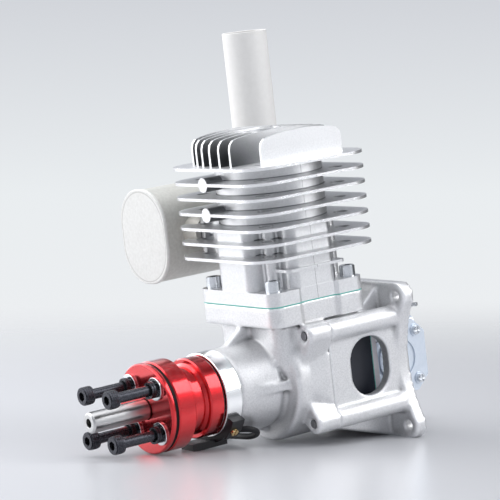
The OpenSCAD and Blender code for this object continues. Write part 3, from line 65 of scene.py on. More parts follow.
# %% Camera
camera_place = Vector((0.94104, -0.74091, 0.21442))
camera_azimuth = math.radians(54.33)
camera_back = Vector((0.80561, -0.57822, 0.12900)).normalized()
camera_roll = math.radians(6.51)
level_right = Vector((math.cos(camera_azimuth), math.sin(camera_azimuth), 0))
level_up = camera_back.cross(level_right)
image_right = level_right * math.cos(camera_roll) - level_up * math.sin(camera_roll)
image_up = level_right * math.sin(camera_roll) + level_up * math.cos(camera_roll)
lens = bpy.data.cameras.new("camera")
lens.lens = 174.96
lens.sensor_width = 36
lens.clip_start = 0.05
lens.clip_end = 50
camera = bpy.data.objects.new("camera", lens)
turn = Matrix((image_right, image_up, camera_back)).transposed().to_4x4()
camera.matrix_world = Matrix.Translation(camera_place) @ turn
scene.collection.objects.link(camera)
scene.camera = camera
print("camera at", [round(v, 3) for v in camera_place])

# %% [markdown]
# ## Resting plane
# The engine isn't level on the table: it leans forward until the propeller washer touches, with the
# mounting flange's lower edge as its heel. The frame stays level, so the table is tilted instead.

# %% Resting plane
foot_z = -38.8 * mm
washer_y = -135.5 * mm
washer_r = 21.7 * mm
rest_tilt = math.atan((-foot_z - washer_r) / -washer_y)


def table_height(y):
    """Height of the table's surface at y."""
    return foot_z - y * math.tan(rest_tilt)


print("rest tilt", round(math.degrees(rest_tilt), 2), "degrees")

# %% [markdown]
# ## Sensor lead
# The sensor's lead is 3 mm thick and about 325 mm long. It leaves the clamp, turns under the crankcase and
# runs back to a small coil on the table behind the flange, where the photograph's view doesn't reach. It's
# one curve, because a curve's own line gives its length. The coil is one and a half turns, and the second
# lies on the first.

# %% Sensor lead
lead_d = 3 * mm
run_points = [
    (14.8, -94.9, -17), (15.1, -94, -17), (15.9, -93, -17), (17, -91.8, -17.1),
    (17.9, -90.2, -17.5), (18, -88.2, -18.2), (17.3, -86.3, -19.2), (15.8, -84.7, -20.4),
    (13.6, -83.6, -21.6), (10.9, -83.1, -22.7), (7.8, -83, -23.5), (4.5, -83, -24),
    (-1, -83, -24.3), (-8, -82.6, -25), (-15, -81.8, -25.8), (-21.5, -79.8, -26.8),
    (-27.5, -76.2, -27.6), (-33, -71, -28.3), (-38, -63.5, -29.3), (-41.5, -54, -30.5),
    (-44.5, -43, -31.9), (-46.5, -31, -33.4), (-48, -18, -35), (-49, -5, -36.7),
    (-49.3, 8, -38.2), (-49.3, 14, -38.8), (-49.3, 19, -39.3), (-49.3, 24, -39.8),
]
coil_centre = Vector((-34.3, 30)) * mm
coil_r = 15 * mm
coil_lift = 0.7 * mm
coil_start = 180
coil_end = -350
coil_step = 15
climb_start = 200
climb_angle = 150
tail_points = [
    (-19.2, 28, -36.7), (-18.8, 25.6, -36.2), (-18.3, 23, -36.3), (-18, 20.6, -37.2), (-18, 18.3, -38.4),
    (-18, 16.8, -38.7),
]


def coil_point(angle, layer):
    """Centre of the lead in the coil, at an angle in degrees and a height in layers above the table."""
    x = coil_centre.x + coil_r * math.cos(math.radians(angle))
    y = coil_centre.y + coil_r * math.sin(math.radians(angle))
    return Vector((x, y, table_height(y) + (coil_lift + lead_d * (layer + 0.5)) / math.cos(rest_tilt)))


def smooth_rise(t):
    """0 to 1, level at both ends."""
    return t * t * (3 - 2 * t)


lead_line = [Vector(p) * mm for p in run_points]
for angle in range(coil_start, coil_end, -coil_step):
    climbed = (coil_start - angle - climb_start) / climb_angle
    lead_line.append(coil_point(angle, smooth_rise(min(1, max(0, climbed)))))
lead_line += [Vector(p) * mm for p in tail_points]
lead_curve = bpy.data.curves.new("sensor_lead_cord", "CURVE")
lead_curve.dimensions = "3D"
# A point's radius times the bevel depth is the lead's radius, so the depth is 1.
lead_curve.bevel_depth = 1
lead_curve.bevel_resolution = 6
lead_curve.resolution_u = 6
spline = lead_curve.splines.new("NURBS")
spline.points.add(len(lead_line) - 1)
for point, place in zip(spline.points, lead_line):
    point.co = (*place, 1)
    point.radius = lead_d / 2
spline.order_u = 4
spline.use_endpoint_u = True
lead_curve.use_fill_caps = True
lead = bpy.data.objects.new("sensor_lead_cord", lead_curve)
scene.collection.objects.link(lead)
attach(lead, "engine")
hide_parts("sensor_lead", "lead_coil")

# %% [markdown]
# ## Shader maths
# A finish is a material whose colour, roughness and bump come from patterns in the object's own
# coordinates. Adding nodes by hand is long, so one small class wraps a socket and lets ordinary arithmetic
# add Math nodes, and one method adds any other node.

# %% Shader helpers
class Value:
    """A number in a material. Arithmetic on it adds Math nodes."""

    def __init__(self, finish, socket):
        self.finish = finish
        self.socket = socket

    def math(self, operation, *others, swap=False):
        items = [self, *others]
        if swap:
            items.reverse()
        return self.finish.node("Math", dict(enumerate(items)), operation=operation)

    def __add__(self, other):
        return self.math("ADD", other)

    def __sub__(self, other):
        return self.math("SUBTRACT", other)

    def __mul__(self, other):
        return self.math("MULTIPLY", other)

    def __truediv__(self, other):
        return self.math("DIVIDE", other)

    def __radd__(self, other):
        return self.math("ADD", other, swap=True)

    def __rsub__(self, other):
        return self.math("SUBTRACT", other, swap=True)

    def __gt__(self, other):
        return self.math("GREATER_THAN", other)

    def __lt__(self, other):
        return self.math("LESS_THAN", other)

    def ramp(self, low, high):
        """0 below low, 1 above high, smooth between."""
        return self.finish.node("MapRange", {"Value": self, "From Min": low, "From Max": high},
                                interpolation_type="SMOOTHSTEP")

    def abs(self):
        return self.math("ABSOLUTE")

    def max(self, other):
        return self.math("MAXIMUM", other)

    def min(self, other):
        return self.math("MINIMUM", other)

    def sine(self):
        return self.math("SINE")


def distance(a, b):
    """Length of the vector (a, b), as a Value."""
    return (a * a + b * b).math("SQRT")


class Finish:
    """A material with one Principled shader, and the patterns that feed it."""

    def __init__(self, name):
        self.material = bpy.data.materials.new(name)
        self.material.use_nodes = True
        self.tree = self.material.node_tree
        self.shader = self.tree.nodes["Principled BSDF"]
        self.coordinates = self.node("TexCoord", {}, output="Object")
        split = self.node("SeparateXYZ", {0: self.coordinates}, output=None)
        self.x = Value(self, split.outputs[0])
        self.y = Value(self, split.outputs[1])
        self.z = Value(self, split.outputs[2])

    def node(self, kind, inputs, output=0, **settings):
        """Adds a node, its settings first, then its sockets. Returns one output as a Value, or the node."""
        made = self.tree.nodes.new("ShaderNode" + kind)
        for key, value in settings.items():
            setattr(made, key, value)
        for key, value in inputs.items():
            self.feed(made.inputs[key], value)
        if output is None:
            return made
        return Value(self, made.outputs[output])

    def feed(self, socket, value):
        """Links a Value to a socket, or sets the socket's own value."""
        if isinstance(value, Value):
            self.tree.links.new(value.socket, socket)
        else:
            socket.default_value = value

    def noise(self, size, detail=2, stretch=(1, 1, 1), roughness=0.5):
        """Noise from 0 to 1 whose grains are about size metres across."""
        scaled = self.node("Mapping", {"Vector": self.coordinates, "Scale": stretch})
        return self.node("TexNoise", {"Vector": scaled, "Scale": 1 / size, "Detail": detail,
                                      "Roughness": roughness}, output="Fac")

    def mix(self, factor, a, b):
        """A colour between a and b, where the factor is 0 and 1."""
        return self.node("Mix", {0: factor, 6: a, 7: b}, output=2, data_type="RGBA")

    def blend(self, factor, a, b):
        """A number between a and b, where the factor is 0 and 1."""
        return a + (b - a) * factor

    def set(self, **sockets):
        """Sets or links the Principled shader's sockets, named with _ for a space."""
        for name, value in sockets.items():
            title = name.replace("_", " ").title().replace("Ior", "IOR")
            self.feed(self.shader.inputs[title], value)

    def bump(self, height, depth, strength):
        """Feeds a height from 0 to 1, that stands depth metres high, to the shader's normal."""
        made = self.node("Bump", {"Height": height, "Distance": depth, "Strength": strength})
        self.set(normal=made)


# %% [markdown]
# ## Cast aluminium
# The crankcase, the housing and the cylinder are die castings, blasted to a fine even grain, so they look
# like pale satin silver. Metal alone would turn black where nothing bright is reflected, and real blasted
# metal scatters light in every direction, so the finish is part metal, part diffuse. Shade is painted darker
# into creases, and a painted highlight makes ridges paler. The attribute cavity, which is worked out from the
# mesh further down, tells them apart: it's above 0 in a crease, below 0 on a ridge, and 0 on flat ground and
# on pieces without it.

# %% Cast finish
blast_grain = 0.8 * mm
cloud_size = 9 * mm
flat_limit = 0.01
full_curve = 0.07
# Strengths of the painted shade in creases and of the painted highlight on ridges.
painted_crease_shade = 0.5
painted_ridge_highlight = 0.14


def cast_finish(name, tone):
    """Blasted cast aluminium of a tone from 0 to 1, with painted shade in creases and a painted highlight on
    ridges.
    """
    finish = Finish(name)
    grain = finish.noise(blast_grain, detail=4, roughness=0.75)
    clouds = finish.noise(cloud_size, detail=3)
    cavity = finish.node("Attribute", {}, output="Fac", attribute_name="cavity")
    crease = cavity.ramp(flat_limit, full_curve)
    ridge = (cavity * -1).ramp(flat_limit, full_curve)
    flat_level = tone + (clouds - 0.5) * 0.08 + (grain - 0.5) * 0.5
    # Painted shade darkens creases, and a painted highlight lightens ridges.
    level = flat_level * (1 - crease * painted_crease_shade) + ridge * painted_ridge_highlight
    colour = finish.node("CombineColor", {0: level, 1: level * 1.002, 2: level * 1.014})
    finish.set(base_color=colour, metallic=0.78, roughness=0.36 + grain * 0.14 - ridge * 0.08)
    finish.bump(grain, 0.12 * mm, 0.8)
    return finish


cast = cast_finish("cast_silver", 0.72)

# %% [markdown]
# The fins are cast with the cylinder, but their rims are cut afterwards on a milling machine, so each rim is
# a bright line while the faces between stay satin and a little darker. A mask finds the rim: it's where a
# point lies close to the fins' rounded outline.

# %% Cylinder finish
cylinder_y = -49.3 * mm
fin_half = Vector((37.5, 36.3)) * mm
fin_round = 14.7 * mm


def outline_distance(finish):
    """Distance inside the fins' rounded outline, as a Value, negative within."""
    out_x = (finish.x.abs() - (fin_half.x - fin_round)).max(0)
    out_y = ((finish.y - cylinder_y).abs() - (fin_half.y - fin_round)).max(0)
    return distance(out_x, out_y) - fin_round


finned = cast_finish("finned_silver", 0.74)
rim = outline_distance(finned).ramp(-0.3 * mm, -0.1 * mm)
fin_grain = finned.noise(blast_grain, detail=4, roughness=0.7)
barrel_skin = finned.mix(fin_grain, (0.58, 0.585, 0.595, 1), (0.92, 0.925, 0.935, 1))
# Above head_z the fins' colour is mixed darker: painted shade that tones down their light.
head_z = 113 * mm
skin_with_painted_head_shade = finned.mix((finned.z > head_z) * 0.35, barrel_skin, (0.70, 0.705, 0.715, 1))

# %% [markdown]
# The walls between the upright fins are painted darker, as painted shade deep in the narrow gaps, and a thin
# line of painted shade runs in each corner where a fin meets the barrel and round each screw's hole. The
# flanks of the boss on the barrel's front get painted shade too. The mould's halves leave a fine line down
# the near side. These are masks of place and of the way that a wall faces. Each mask is 1 on its mark and 0
# elsewhere.

# %% Gaps, corners and parting line
top_fin_z = 106 * mm
low_fin_z = 62 * mm
fin_pitch = 7.26 * mm
near_fin_x = 27 * mm
gap_half = 31 * mm
gap_height = 13 * mm
corner_r = 26.6 * mm
parting_half = 0.11 * mm
boss_x = -4.5 * mm
boss_r = 3.6 * mm
boss_front = -85.4 * mm
boss_back = -76 * mm
screw_x = 24 * mm
screw_y = 22.5 * mm
hole_r = 3.3 * mm
hole_line = 0.35 * mm
shade_and_parting_colour = (0.10, 0.105, 0.11, 1)

wall = finned.node("NewGeometry", {}, output="Normal")
wall_parts = finned.node("SeparateXYZ", {0: wall}, output=None)
wall_x, wall_y, wall_z = (Value(finned, part) for part in wall_parts.outputs)
along = finned.y - cylinder_y
off_axis = along.abs()
under_head = finned.z < top_fin_z - 1 * mm

# Painted shade on the walls between the upright fins, darkest at their ends and near the bottom.
in_gap = (finned.z > top_fin_z) * (finned.x < near_fin_x) * wall_x.abs().ramp(0.5, 0.9)
gap_end = (off_axis / gap_half).ramp(0.1, 0.95)
gap_depth = 1 - (finned.z - top_fin_z).ramp(0, gap_height)
painted_gap_shade = in_gap * (gap_end * 0.7 + gap_depth * 0.3)

# A thin line of painted shade in each corner where a fin meets the barrel.
above_fin = ((top_fin_z - finned.z) / fin_pitch).math("FRACT")
in_corner = (above_fin > 0.94) * (distance(finned.x, along) < corner_r)
painted_corner_shade = in_corner * under_head * (finned.z > low_fin_z)

parting_line = (off_axis < parting_half) * (finned.x > 20 * mm) * under_head

# Painted shade on the flanks of the boss on the barrel's front.
on_boss = ((finned.x - boss_x).abs() < boss_r) * (finned.y < boss_back) * (finned.y > boss_front)
level_wall = wall_z.abs().ramp(0.9, 1.0)
painted_boss_shade = on_boss * under_head * wall_y.abs().ramp(0.6, 0.3) * (1 - level_wall)

# A thin ring of painted shade round each screw's hole.
to_hole = distance(finned.x.abs() - screw_x, off_axis - screw_y)
painted_hole_shade = ((to_hole - hole_r).abs() < hole_line) * under_head * (finned.z > low_fin_z - 2 * mm)

# Every mark but the parting line is painted shade; the parting line is real.
marks = painted_gap_shade
for mask, strength in ((painted_corner_shade, 0.8), (parting_line, 0.7), (painted_boss_shade, 0.75), (painted_hole_shade, 0.6)):
    marks = marks.max(mask * strength)
bare = finned.mix(rim, skin_with_painted_head_shade, (0.92, 0.92, 0.93, 1))
finned.set(base_color=finned.mix(marks, bare, shade_and_parting_colour), metallic=0.85,
           roughness=finned.blend(rim, 0.33 + fin_grain * 0.1, 0.24))

# %% [markdown]
# ## Turned, anodised, oxide and plated finishes
# The nose ring and the stud are turned bright, with fine rings round the axis. The hub is turned and then
# anodised red: a clear coloured skin over metal, which keeps sharp highlights. Screws are black oxide or
# zinc.

# %% Turned finishes
def ring_lines(finish, pitch):
    """Fine tool marks along Y, from 0 to 1, for pieces turned about the crank axis."""
    wobble = finish.noise(3 * mm, detail=1)
    return ((finish.y / pitch + wobble * 0.5) * (2 * math.pi)).sine() * 0.5 + 0.5


turned = Finish("turned_bright")
turned.set(base_color=(0.86, 0.87, 0.88, 1), metallic=1.0,
           roughness=0.16 + turned.noise(2 * mm, stretch=(1, 12, 1)) * 0.08)
turned.bump(ring_lines(turned, 0.16 * mm), 0.004 * mm, 0.4)

red = Finish("red_anodised")
red_tone = red.mix(red.noise(6 * mm), (0.56, 0.010, 0.016, 1), (0.68, 0.014, 0.020, 1))
red.set(base_color=red_tone, metallic=0.95, coat_weight=0.9, coat_roughness=0.08,
        roughness=0.15 + red.noise(1.2 * mm, stretch=(1, 14, 1)) * 0.08)
red.bump(ring_lines(red, 0.2 * mm), 0.004 * mm, 0.3)

steel = Finish("bright_steel")
steel.set(base_color=(0.52, 0.52, 0.52, 1), metallic=1.0,
          roughness=0.26 + steel.noise(2 * mm, stretch=(1, 10, 1)) * 0.1)
steel.bump(ring_lines(steel, 0.12 * mm), 0.003 * mm, 0.3)


def plain_metal(name, low, high, roughness, metallic=1.0, grain=1.5 * mm, bump=0.02):
    """A metal whose colour drifts between two tones and whose skin has a fine grain."""
    finish = Finish(name)
    drift = finish.noise(grain, detail=3)
    finish.set(base_color=finish.mix(drift, (*low, 1), (*high, 1)), metallic=metallic,
               roughness=roughness + (drift - 0.5) * 0.12)
    finish.bump(finish.noise(0.25 * mm), bump * mm, 0.4)
    return finish


oxide = plain_metal("black_oxide", (0.035, 0.036, 0.044), (0.07, 0.072, 0.085), 0.27, metallic=0.85)
anodised_black = plain_metal("anodised_black", (0.002, 0.002, 0.003), (0.006, 0.006, 0.007), 0.5,
                             metallic=0.0)
anodised_black.set(specular_ior_level=0.15)
zinc = plain_metal("zinc_plate", (0.62, 0.65, 0.69), (0.74, 0.76, 0.78), 0.2)
grey_steel = plain_metal("grey_steel", (0.50, 0.50, 0.50), (0.62, 0.62, 0.62), 0.42, metallic=0.6)
brass = plain_metal("brass", (0.60, 0.42, 0.18), (0.80, 0.62, 0.34), 0.22)
carb_alloy = plain_metal("carb_alloy", (0.66, 0.73, 0.82), (0.74, 0.80, 0.88), 0.34, metallic=0.7)
plate_alloy = plain_metal("plate_alloy", (0.80, 0.75, 0.76), (0.90, 0.85, 0.86), 0.4, metallic=0.2)
iron = plain_metal("ring_iron", (0.20, 0.20, 0.21), (0.30, 0.30, 0.31), 0.4)
blasted = plain_metal("muffler_blasted", (0.47, 0.465, 0.43), (0.70, 0.70, 0.66), 0.55, metallic=0.2,
                      grain=1.6 * mm, bump=0.08)

# %% [markdown]
# The muffler's pipe and caps are cleaner and paler than its can. Each cap is folded over the can, so a thin
# shadow line runs just inside its rim. The cap's outline is an oval with round ends, and the distance to it
# gives the line.

# %% Muffler pipe and caps
pipe_alloy = plain_metal("pipe_blasted", (0.69, 0.68, 0.66), (0.76, 0.75, 0.735), 0.6, metallic=0.05,
                         grain=2.5 * mm, bump=0.03)
neck_alloy = plain_metal("neck_warm", (0.70, 0.675, 0.62), (0.84, 0.815, 0.76), 0.4, metallic=0.5)
cap_low, cap_high = (Vector(corner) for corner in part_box("muffler_front_cap"))
cap_middle = (cap_low + cap_high) / 2
cap_half = (cap_high - cap_low) / 2
fold_inset = 1.3 * mm
fold_half = 0.45 * mm
cap_alloy = Finish("cap_blasted")
cap_x = cap_alloy.x - cap_middle.x
cap_z = ((cap_alloy.z - cap_middle.z).abs() - (cap_half.z - cap_half.x)).max(0)
cap_inside = distance(cap_x, cap_z) * -1 + cap_half.x
fold = 1 - ((cap_inside - fold_inset).abs() / fold_half).min(1)
speckle = cap_alloy.noise(1.6 * mm, detail=3)
cap_skin = cap_alloy.mix(speckle, (0.60, 0.595, 0.57, 1), (0.78, 0.78, 0.76, 1))
cap_alloy.set(base_color=cap_alloy.mix(fold * 0.5, cap_skin, (0.22, 0.21, 0.19, 1)), metallic=0.15,
              roughness=0.52 + speckle * 0.1)
cap_alloy.bump(fold * -0.4 + speckle * 0.2, 0.2 * mm, 0.6)

# %% [markdown]
# ## Plastics, gaskets and rubber
# Moulded black parts have a fine spark-eroded grain. The gasket is green coated paper, seen as a thin line.

# %% Plastics and gaskets
def plastic(name, low, high, roughness, specular=0.5):
    """A moulded or coated finish with a fine grain."""
    finish = Finish(name)
    drift = finish.noise(0.4 * mm, detail=3)
    finish.set(base_color=finish.mix(drift, (*low, 1), (*high, 1)), metallic=0.0,
               roughness=roughness + (drift - 0.5) * 0.1, specular_ior_level=specular)
    finish.bump(drift, 0.03 * mm, 0.5)
    return finish


black_plastic = plastic("black_plastic", (0.010, 0.010, 0.012), (0.022, 0.022, 0.025), 0.38, 0.35)
navy_plastic = plastic("navy_plastic", (0.008, 0.010, 0.018), (0.016, 0.019, 0.032), 0.42)
gasket_green = plastic("gasket_green", (0.12, 0.46, 0.40), (0.18, 0.56, 0.48), 0.6)
gasket_dark = plastic("gasket_dark", (0.012, 0.012, 0.014), (0.03, 0.03, 0.034), 0.6)
rubber = plastic("lead_rubber", (0.005, 0.005, 0.007), (0.012, 0.012, 0.014), 0.5, 0.3)

# %% Give every CAD node its finish
slot_finish = {
    "cast_aluminium": cast, "turned_aluminium": turned, "red_anodised": red,
    "black_anodised": anodised_black, "bright_steel": steel, "black_steel": oxide, "zinc_steel": zinc,
    "yellow_steel": zinc, "grey_steel": grey_steel, "muffler_metal": blasted, "carb_alloy": carb_alloy,
    "plate_alloy": plate_alloy, "piston_alloy": turned, "ring_iron": iron, "brass": brass,
    "black_plastic": black_plastic, "gasket_green": gasket_green, "gasket_dark": gasket_dark,
    "seal_rubber": rubber, "lead_rubber": rubber,
}
node_finish = {
    "finned_cylinder": finned, "reed_block": navy_plastic, "housing_screws": iron, "muffler_screws": zinc,
    "outlet_pipe": pipe_alloy, "muffler_front_cap": cap_alloy, "muffler_rear_cap": cap_alloy,
    "muffler_neck": neck_alloy,
}


slot_of = {part["node"]: part["material_slot"] for part in frame["record"]["subparts"]}


def finish_of(node):
    """A node's own finish, or else its slot's."""
    return node_finish.get(node, slot_finish[slot_of[node]])


def dress(obj, finish):
    """Gives an object one finish."""
    obj.data.materials.clear()
    obj.data.materials.append(finish.material)


for node in slot_of:
    dress(nodes[node], finish_of(node))
dress(lead, rubber)

# %% [markdown]
# ## Castings with rounded corners
# CAD gives the castings sharp corners. A die casting has a radius on every edge and a fillet in every
# corner, and those small curves catch the light, so a copy of each casting is rebuilt in fine voxels and then
# smoothed. Points on machined faces are held still, so that those faces stay flat and true.

# %% Round a casting
casting_voxel = 0.75 * mm
casting_rounds = 4
cavity_rings = 4


def merged_mesh(node):
    """A CAD node's mesh as a bmesh, with its loose triangles joined."""
    shape = bmesh.new()
    shape.from_mesh(nodes[node].data)
    bmesh.ops.remove_doubles(shape, verts=shape.verts, dist=0.001 * mm)
    return shape


def smooth(shape, verts, rounds):
    """Moves points halfway towards the middle of their neighbours, several times."""
    for _ in range(rounds):
        bmesh.ops.smooth_vert(shape, verts=verts, factor=0.5, use_axis_x=True, use_axis_y=True,
                              use_axis_z=True)


def add_piece(name, shape, body, finish, replaced=()):
    """Makes an object of a bmesh that rides on a body."""
    mesh = bpy.data.meshes.new(name)
    shape.to_mesh(mesh)
    shape.free()
    obj = bpy.data.objects.new(name, mesh)
    scene.collection.objects.link(obj)
    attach(obj, body)
    dress(obj, finish)
    if replaced:
        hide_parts(*replaced)
    return obj


def cavity_of(shape):
    """How far each point lies below its neighbours, in millimetres, averaged over a few rings of points."""
    around = [[edge.other_vert(vert) for edge in vert.link_edges] for vert in shape.verts]
    hollows = []
    for vert, others in zip(shape.verts, around):
        middle = sum((other.co for other in others), Vector()) / len(others)
        hollows.append((middle - vert.co).dot(vert.normal) / mm)
    for _ in range(cavity_rings):
        hollows = [(hollows[vert.index] + sum(hollows[other.index] for other in others))
                   / (len(others) + 1) for vert, others in zip(shape.verts, around)]
    return hollows


def round_casting(name, node, held, fill=None, shape_more=None):
    """A casting rebuilt in voxels and smoothed. held tells which points stay where they are."""
    merged = merged_mesh(node)
    if fill:
        fill(merged)
    obj = add_piece(name, merged, "engine", cast, (node,))
    voxels = obj.modifiers.new("voxels", "REMESH")
    voxels.mode = "VOXEL"
    voxels.voxel_size = casting_voxel
    voxels.use_smooth_shade = True
    bpy.context.view_layer.update()
    evaluated = obj.evaluated_get(bpy.context.evaluated_depsgraph_get())
    rebuilt = bpy.data.meshes.new_from_object(evaluated)
    obj.modifiers.clear()
    shape = bmesh.new()
    shape.from_mesh(rebuilt)
    free = [v for v in shape.verts if not held(v.co)]
    smooth(shape, free, casting_rounds)
    if shape_more:
        shape_more(shape, free)
    shape.normal_update()
    shape.verts.index_update()
    hollows = cavity_of(shape)
    shape.to_mesh(obj.data)
    shape.free()
    obj.data.attributes.new("cavity", "FLOAT", "POINT").data.foreach_set("value", hollows)
    for face in obj.data.polygons:
        face.use_smooth = True
    dress(obj, cast)
    print(name, "has", len(obj.data.polygons), "faces")


split_y = -48 * mm
deck_z = 38.5 * mm
near = 0.3 * mm


def case_held(p):
    return abs(p.y - split_y) < near or abs(p.z - deck_z) < near


def housing_held(p):
    return abs(p.y - split_y) < near or abs(p.y) < near


# %% [markdown]
# The crankcase's neck carries the deck. On the real casting its front wall runs down into the drum without a
# ledge, and its front corners and the drum's rim are well rounded. Two wedges fill the ledge before the
# voxels are made. Afterwards the corners are drawn in to a radius, and that part of the surface is smoothed
# again.

# %% Neck of the crankcase
neck_x = 25.6 * mm
neck_y = -72.6 * mm
neck_round = 8 * mm
neck_top = 28.2 * mm
neck_foot = 3 * mm
drum_r = 30 * mm
drum_y = -68 * mm
nose_root_r = 23.2 * mm
wedge_inner = 14 * mm
wedge_foot_x = 24.5 * mm
wedge_top = 12 * mm
wedge_foot = 2.8 * mm
soft_front = -74 * mm
soft_back = -60 * mm


def fill_ledge(shape):
    """Adds a wedge on each side, from the neck's front wall down to the drum's face."""
    for side in (-1, 1):
        for vert in bmesh.ops.create_cube(shape, size=1)["verts"]:
            top = vert.co.z > 0
            outer = vert.co.x > 0
            front = vert.co.y < 0
            x = (neck_x - 0.3 * mm if top else wedge_foot_x) if outer else wedge_inner
            y = (neck_y + 0.2 * mm if top else drum_y - 0.3 * mm) if front else drum_y + 1 * mm
            vert.co = (side * x, y, wedge_top if top else wedge_foot)
    bmesh.ops.recalc_face_normals(shape, faces=shape.faces)


def round_neck(shape, free):
    """Draws the neck's front corners in to a radius, then smooths the neck and the drum's rim."""
    corner_x = neck_x - neck_round
    corner_y = neck_y + neck_round
    for vert in free:
        p = vert.co
        far = math.hypot(p.x, p.z)
        proud = (p.y < drum_y - 0.2 * mm and far > nose_root_r) or far > drum_r + 0.3 * mm
        if proud and neck_foot < p.z < neck_top and abs(p.x) > corner_x and p.y < corner_y:
            out = Vector((abs(p.x) - corner_x, p.y - corner_y))
            if out.length > neck_round:
                out *= neck_round / out.length
                p.x = math.copysign(corner_x + out.x, p.x)
                p.y = corner_y + out.y
    for low, high, rounds in ((3.2 * mm, 27.5 * mm, 14), (-30 * mm, -2.5 * mm, 6)):
        soft = [v for v in free if soft_front < v.co.y < soft_back and low < v.co.z < high
                and math.hypot(v.co.x, v.co.z) > nose_root_r]
        smooth(shape, soft, rounds)


round_casting("crankcase_cast", "crankcase", case_held, fill_ledge, round_neck)
round_casting("housing_cast", "rear_housing", housing_held)

# %% [markdown]
# ## Small edges
# No machined edge is truly sharp: each is broken by a file or a tumbler, and the narrow facet catches the
# light. A copy of each such piece is merged, its flat faces are joined, and its edges are bevelled. Each
# corner's normal then follows the largest faces round it, which keeps flat faces flat and round faces even.

# %% Break the edges of machined pieces
body_of = {node: body for body, held in frame["record"]["behaviour"]["bodies"].items() for node in held}
flat_angle = math.radians(0.5)
sharp_angle = math.radians(28)


def soften(node, width):
    """A merged copy of a CAD node with its sharp edges broken."""
    shape = merged_mesh(node)
    bmesh.ops.dissolve_limit(shape, angle_limit=flat_angle, verts=shape.verts, edges=shape.edges)
    sharp = [e for e in shape.edges if e.is_manifold and e.calc_face_angle() > sharp_angle]
    bmesh.ops.bevel(shape, geom=sharp, offset=width, offset_type="OFFSET", segments=2, profile=0.5,
                    affect="EDGES", clamp_overlap=True, material=-1)
    shape.normal_update()
    normals = []
    for vert in shape.verts:
        total = Vector()
        for face in vert.link_faces:
            total += face.normal * face.calc_area()
        normals.append(total.normalized())
    for face in shape.faces:
        face.smooth = True
    obj = add_piece(node + "_soft", shape, body_of[node], finish_of(node), (node,))
    obj.data.normals_split_custom_set_from_vertices(normals)


# Widths of the broken edges, in millimetres.
broken_edges = {
    "finned_cylinder": 0.25, "muffler_front_cap": 0.4, "muffler_rear_cap": 0.4, "outlet_pipe": 0.3,
    "nose_ring": 0.2, "prop_hub": 0.3, "prop_washer": 0.35, "flat_washers": 0.2, "prop_bolts": 0.25,
    "prop_stud": 0.25, "cylinder_screws": 0.3, "metering_cover": 0.3, "carb_body": 0.4, "hall_sensor": 0.3,
    "cover_screws": 0.2, "sensor_screw": 0.15,
}
for node, width in broken_edges.items():
    soften(node, width * mm)
print("broken edges on", len(broken_edges), "pieces")

# %% [markdown]
# ## Knurled bolt heads and spring washers
# The four propeller bolts have knurled heads, so that fingers can start them. The knurl is rolled: two
# crossing sets of grooves leave small pyramids. A sleeve of quads with every other point raised gives them.
# The spring washer under each bolt is a short coil, spun from a small square with a rise at each step.

# %% Knurled heads
bolt_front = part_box("prop_bolts")[0][1]
bolt_circle = 15 * mm
bolt_places = [(bolt_circle * math.cos(math.radians(a)), bolt_circle * math.sin(math.radians(a)))
               for a in (45, 135, 225, 315)]
head_r = 4.25 * mm
knurl_long = 3.9 * mm
knurl_start = 0.55 * mm
knurl_rise = 0.16 * mm
knurl_columns = 44
knurl_rows = 8


def knurled_sleeve():
    """One knurled sleeve about Z, centred on the origin, as a bmesh."""
    shape = bmesh.new()
    bmesh.ops.create_cone(shape, cap_ends=False, segments=knurl_columns, radius1=head_r, radius2=head_r,
                          depth=knurl_long)
    long_edges = [e for e in shape.edges if abs(e.verts[0].co.z - e.verts[1].co.z) > 1 * mm]
    bmesh.ops.subdivide_edges(shape, edges=long_edges, cuts=knurl_rows - 1)
    for vert in shape.verts:
        column = round(math.atan2(vert.co.y, vert.co.x) / (2 * math.pi) * knurl_columns)
        row = round((vert.co.z / knurl_long + 0.5) * knurl_rows)
        if 0 < row < knurl_rows and (row + column) % 2:
            vert.co.xy *= 1 + knurl_rise / head_r
    return shape


knurls = bmesh.new()
lay_down = Matrix.Rotation(math.pi / 2, 4, "X")
for x, z in bolt_places:
    sleeve = knurled_sleeve()
    place = Matrix.Translation((x, bolt_front + knurl_start + knurl_long / 2, z)) @ lay_down
    bmesh.ops.transform(sleeve, matrix=place, verts=sleeve.verts)
    sleeve_mesh = bpy.data.meshes.new("sleeve")
    sleeve.to_mesh(sleeve_mesh)
    sleeve.free()
    knurls.from_mesh(sleeve_mesh)
    bpy.data.meshes.remove(sleeve_mesh)
bmesh.ops.recalc_face_normals(knurls, faces=knurls.faces)
knurl = add_piece("bolt_knurls", knurls, "crank", oxide)
wall_of_knurl = knurl.modifiers.new("wall", "SOLIDIFY")
wall_of_knurl.thickness = 0.12 * mm
wall_of_knurl.offset = -1
print("knurl points:", len(knurl.data.vertices))

# %% Spring washers
spring_r = 3.6 * mm
spring_wire = 0.9 * mm
spring_turns = 2.4
spring_pitch = 1.25 * mm
spring_steps = 58
flat_washer = 1.05 * mm


def spring_coil(shape, x, z, y_back):
    """Adds a short coil of square wire round a bolt, from its seat at y_back forwards."""
    half = spring_wire / 2
    corners = [(-half, -half), (half, -half), (half, half), (-half, half)]
    ring = [shape.verts.new((x + (spring_r + out), y_back - half + rise, z)) for out, rise in corners]
    edges = [shape.edges.new((a, b)) for a, b in zip(ring, ring[1:] + ring[:1])]
    bmesh.ops.spin(shape, geom=ring + edges, cent=(x, 0, z), axis=(0, 1, 0),
                   angle=2 * math.pi * spring_turns, steps=spring_steps,
                   dvec=(0, -spring_pitch * spring_turns / spring_steps, 0))


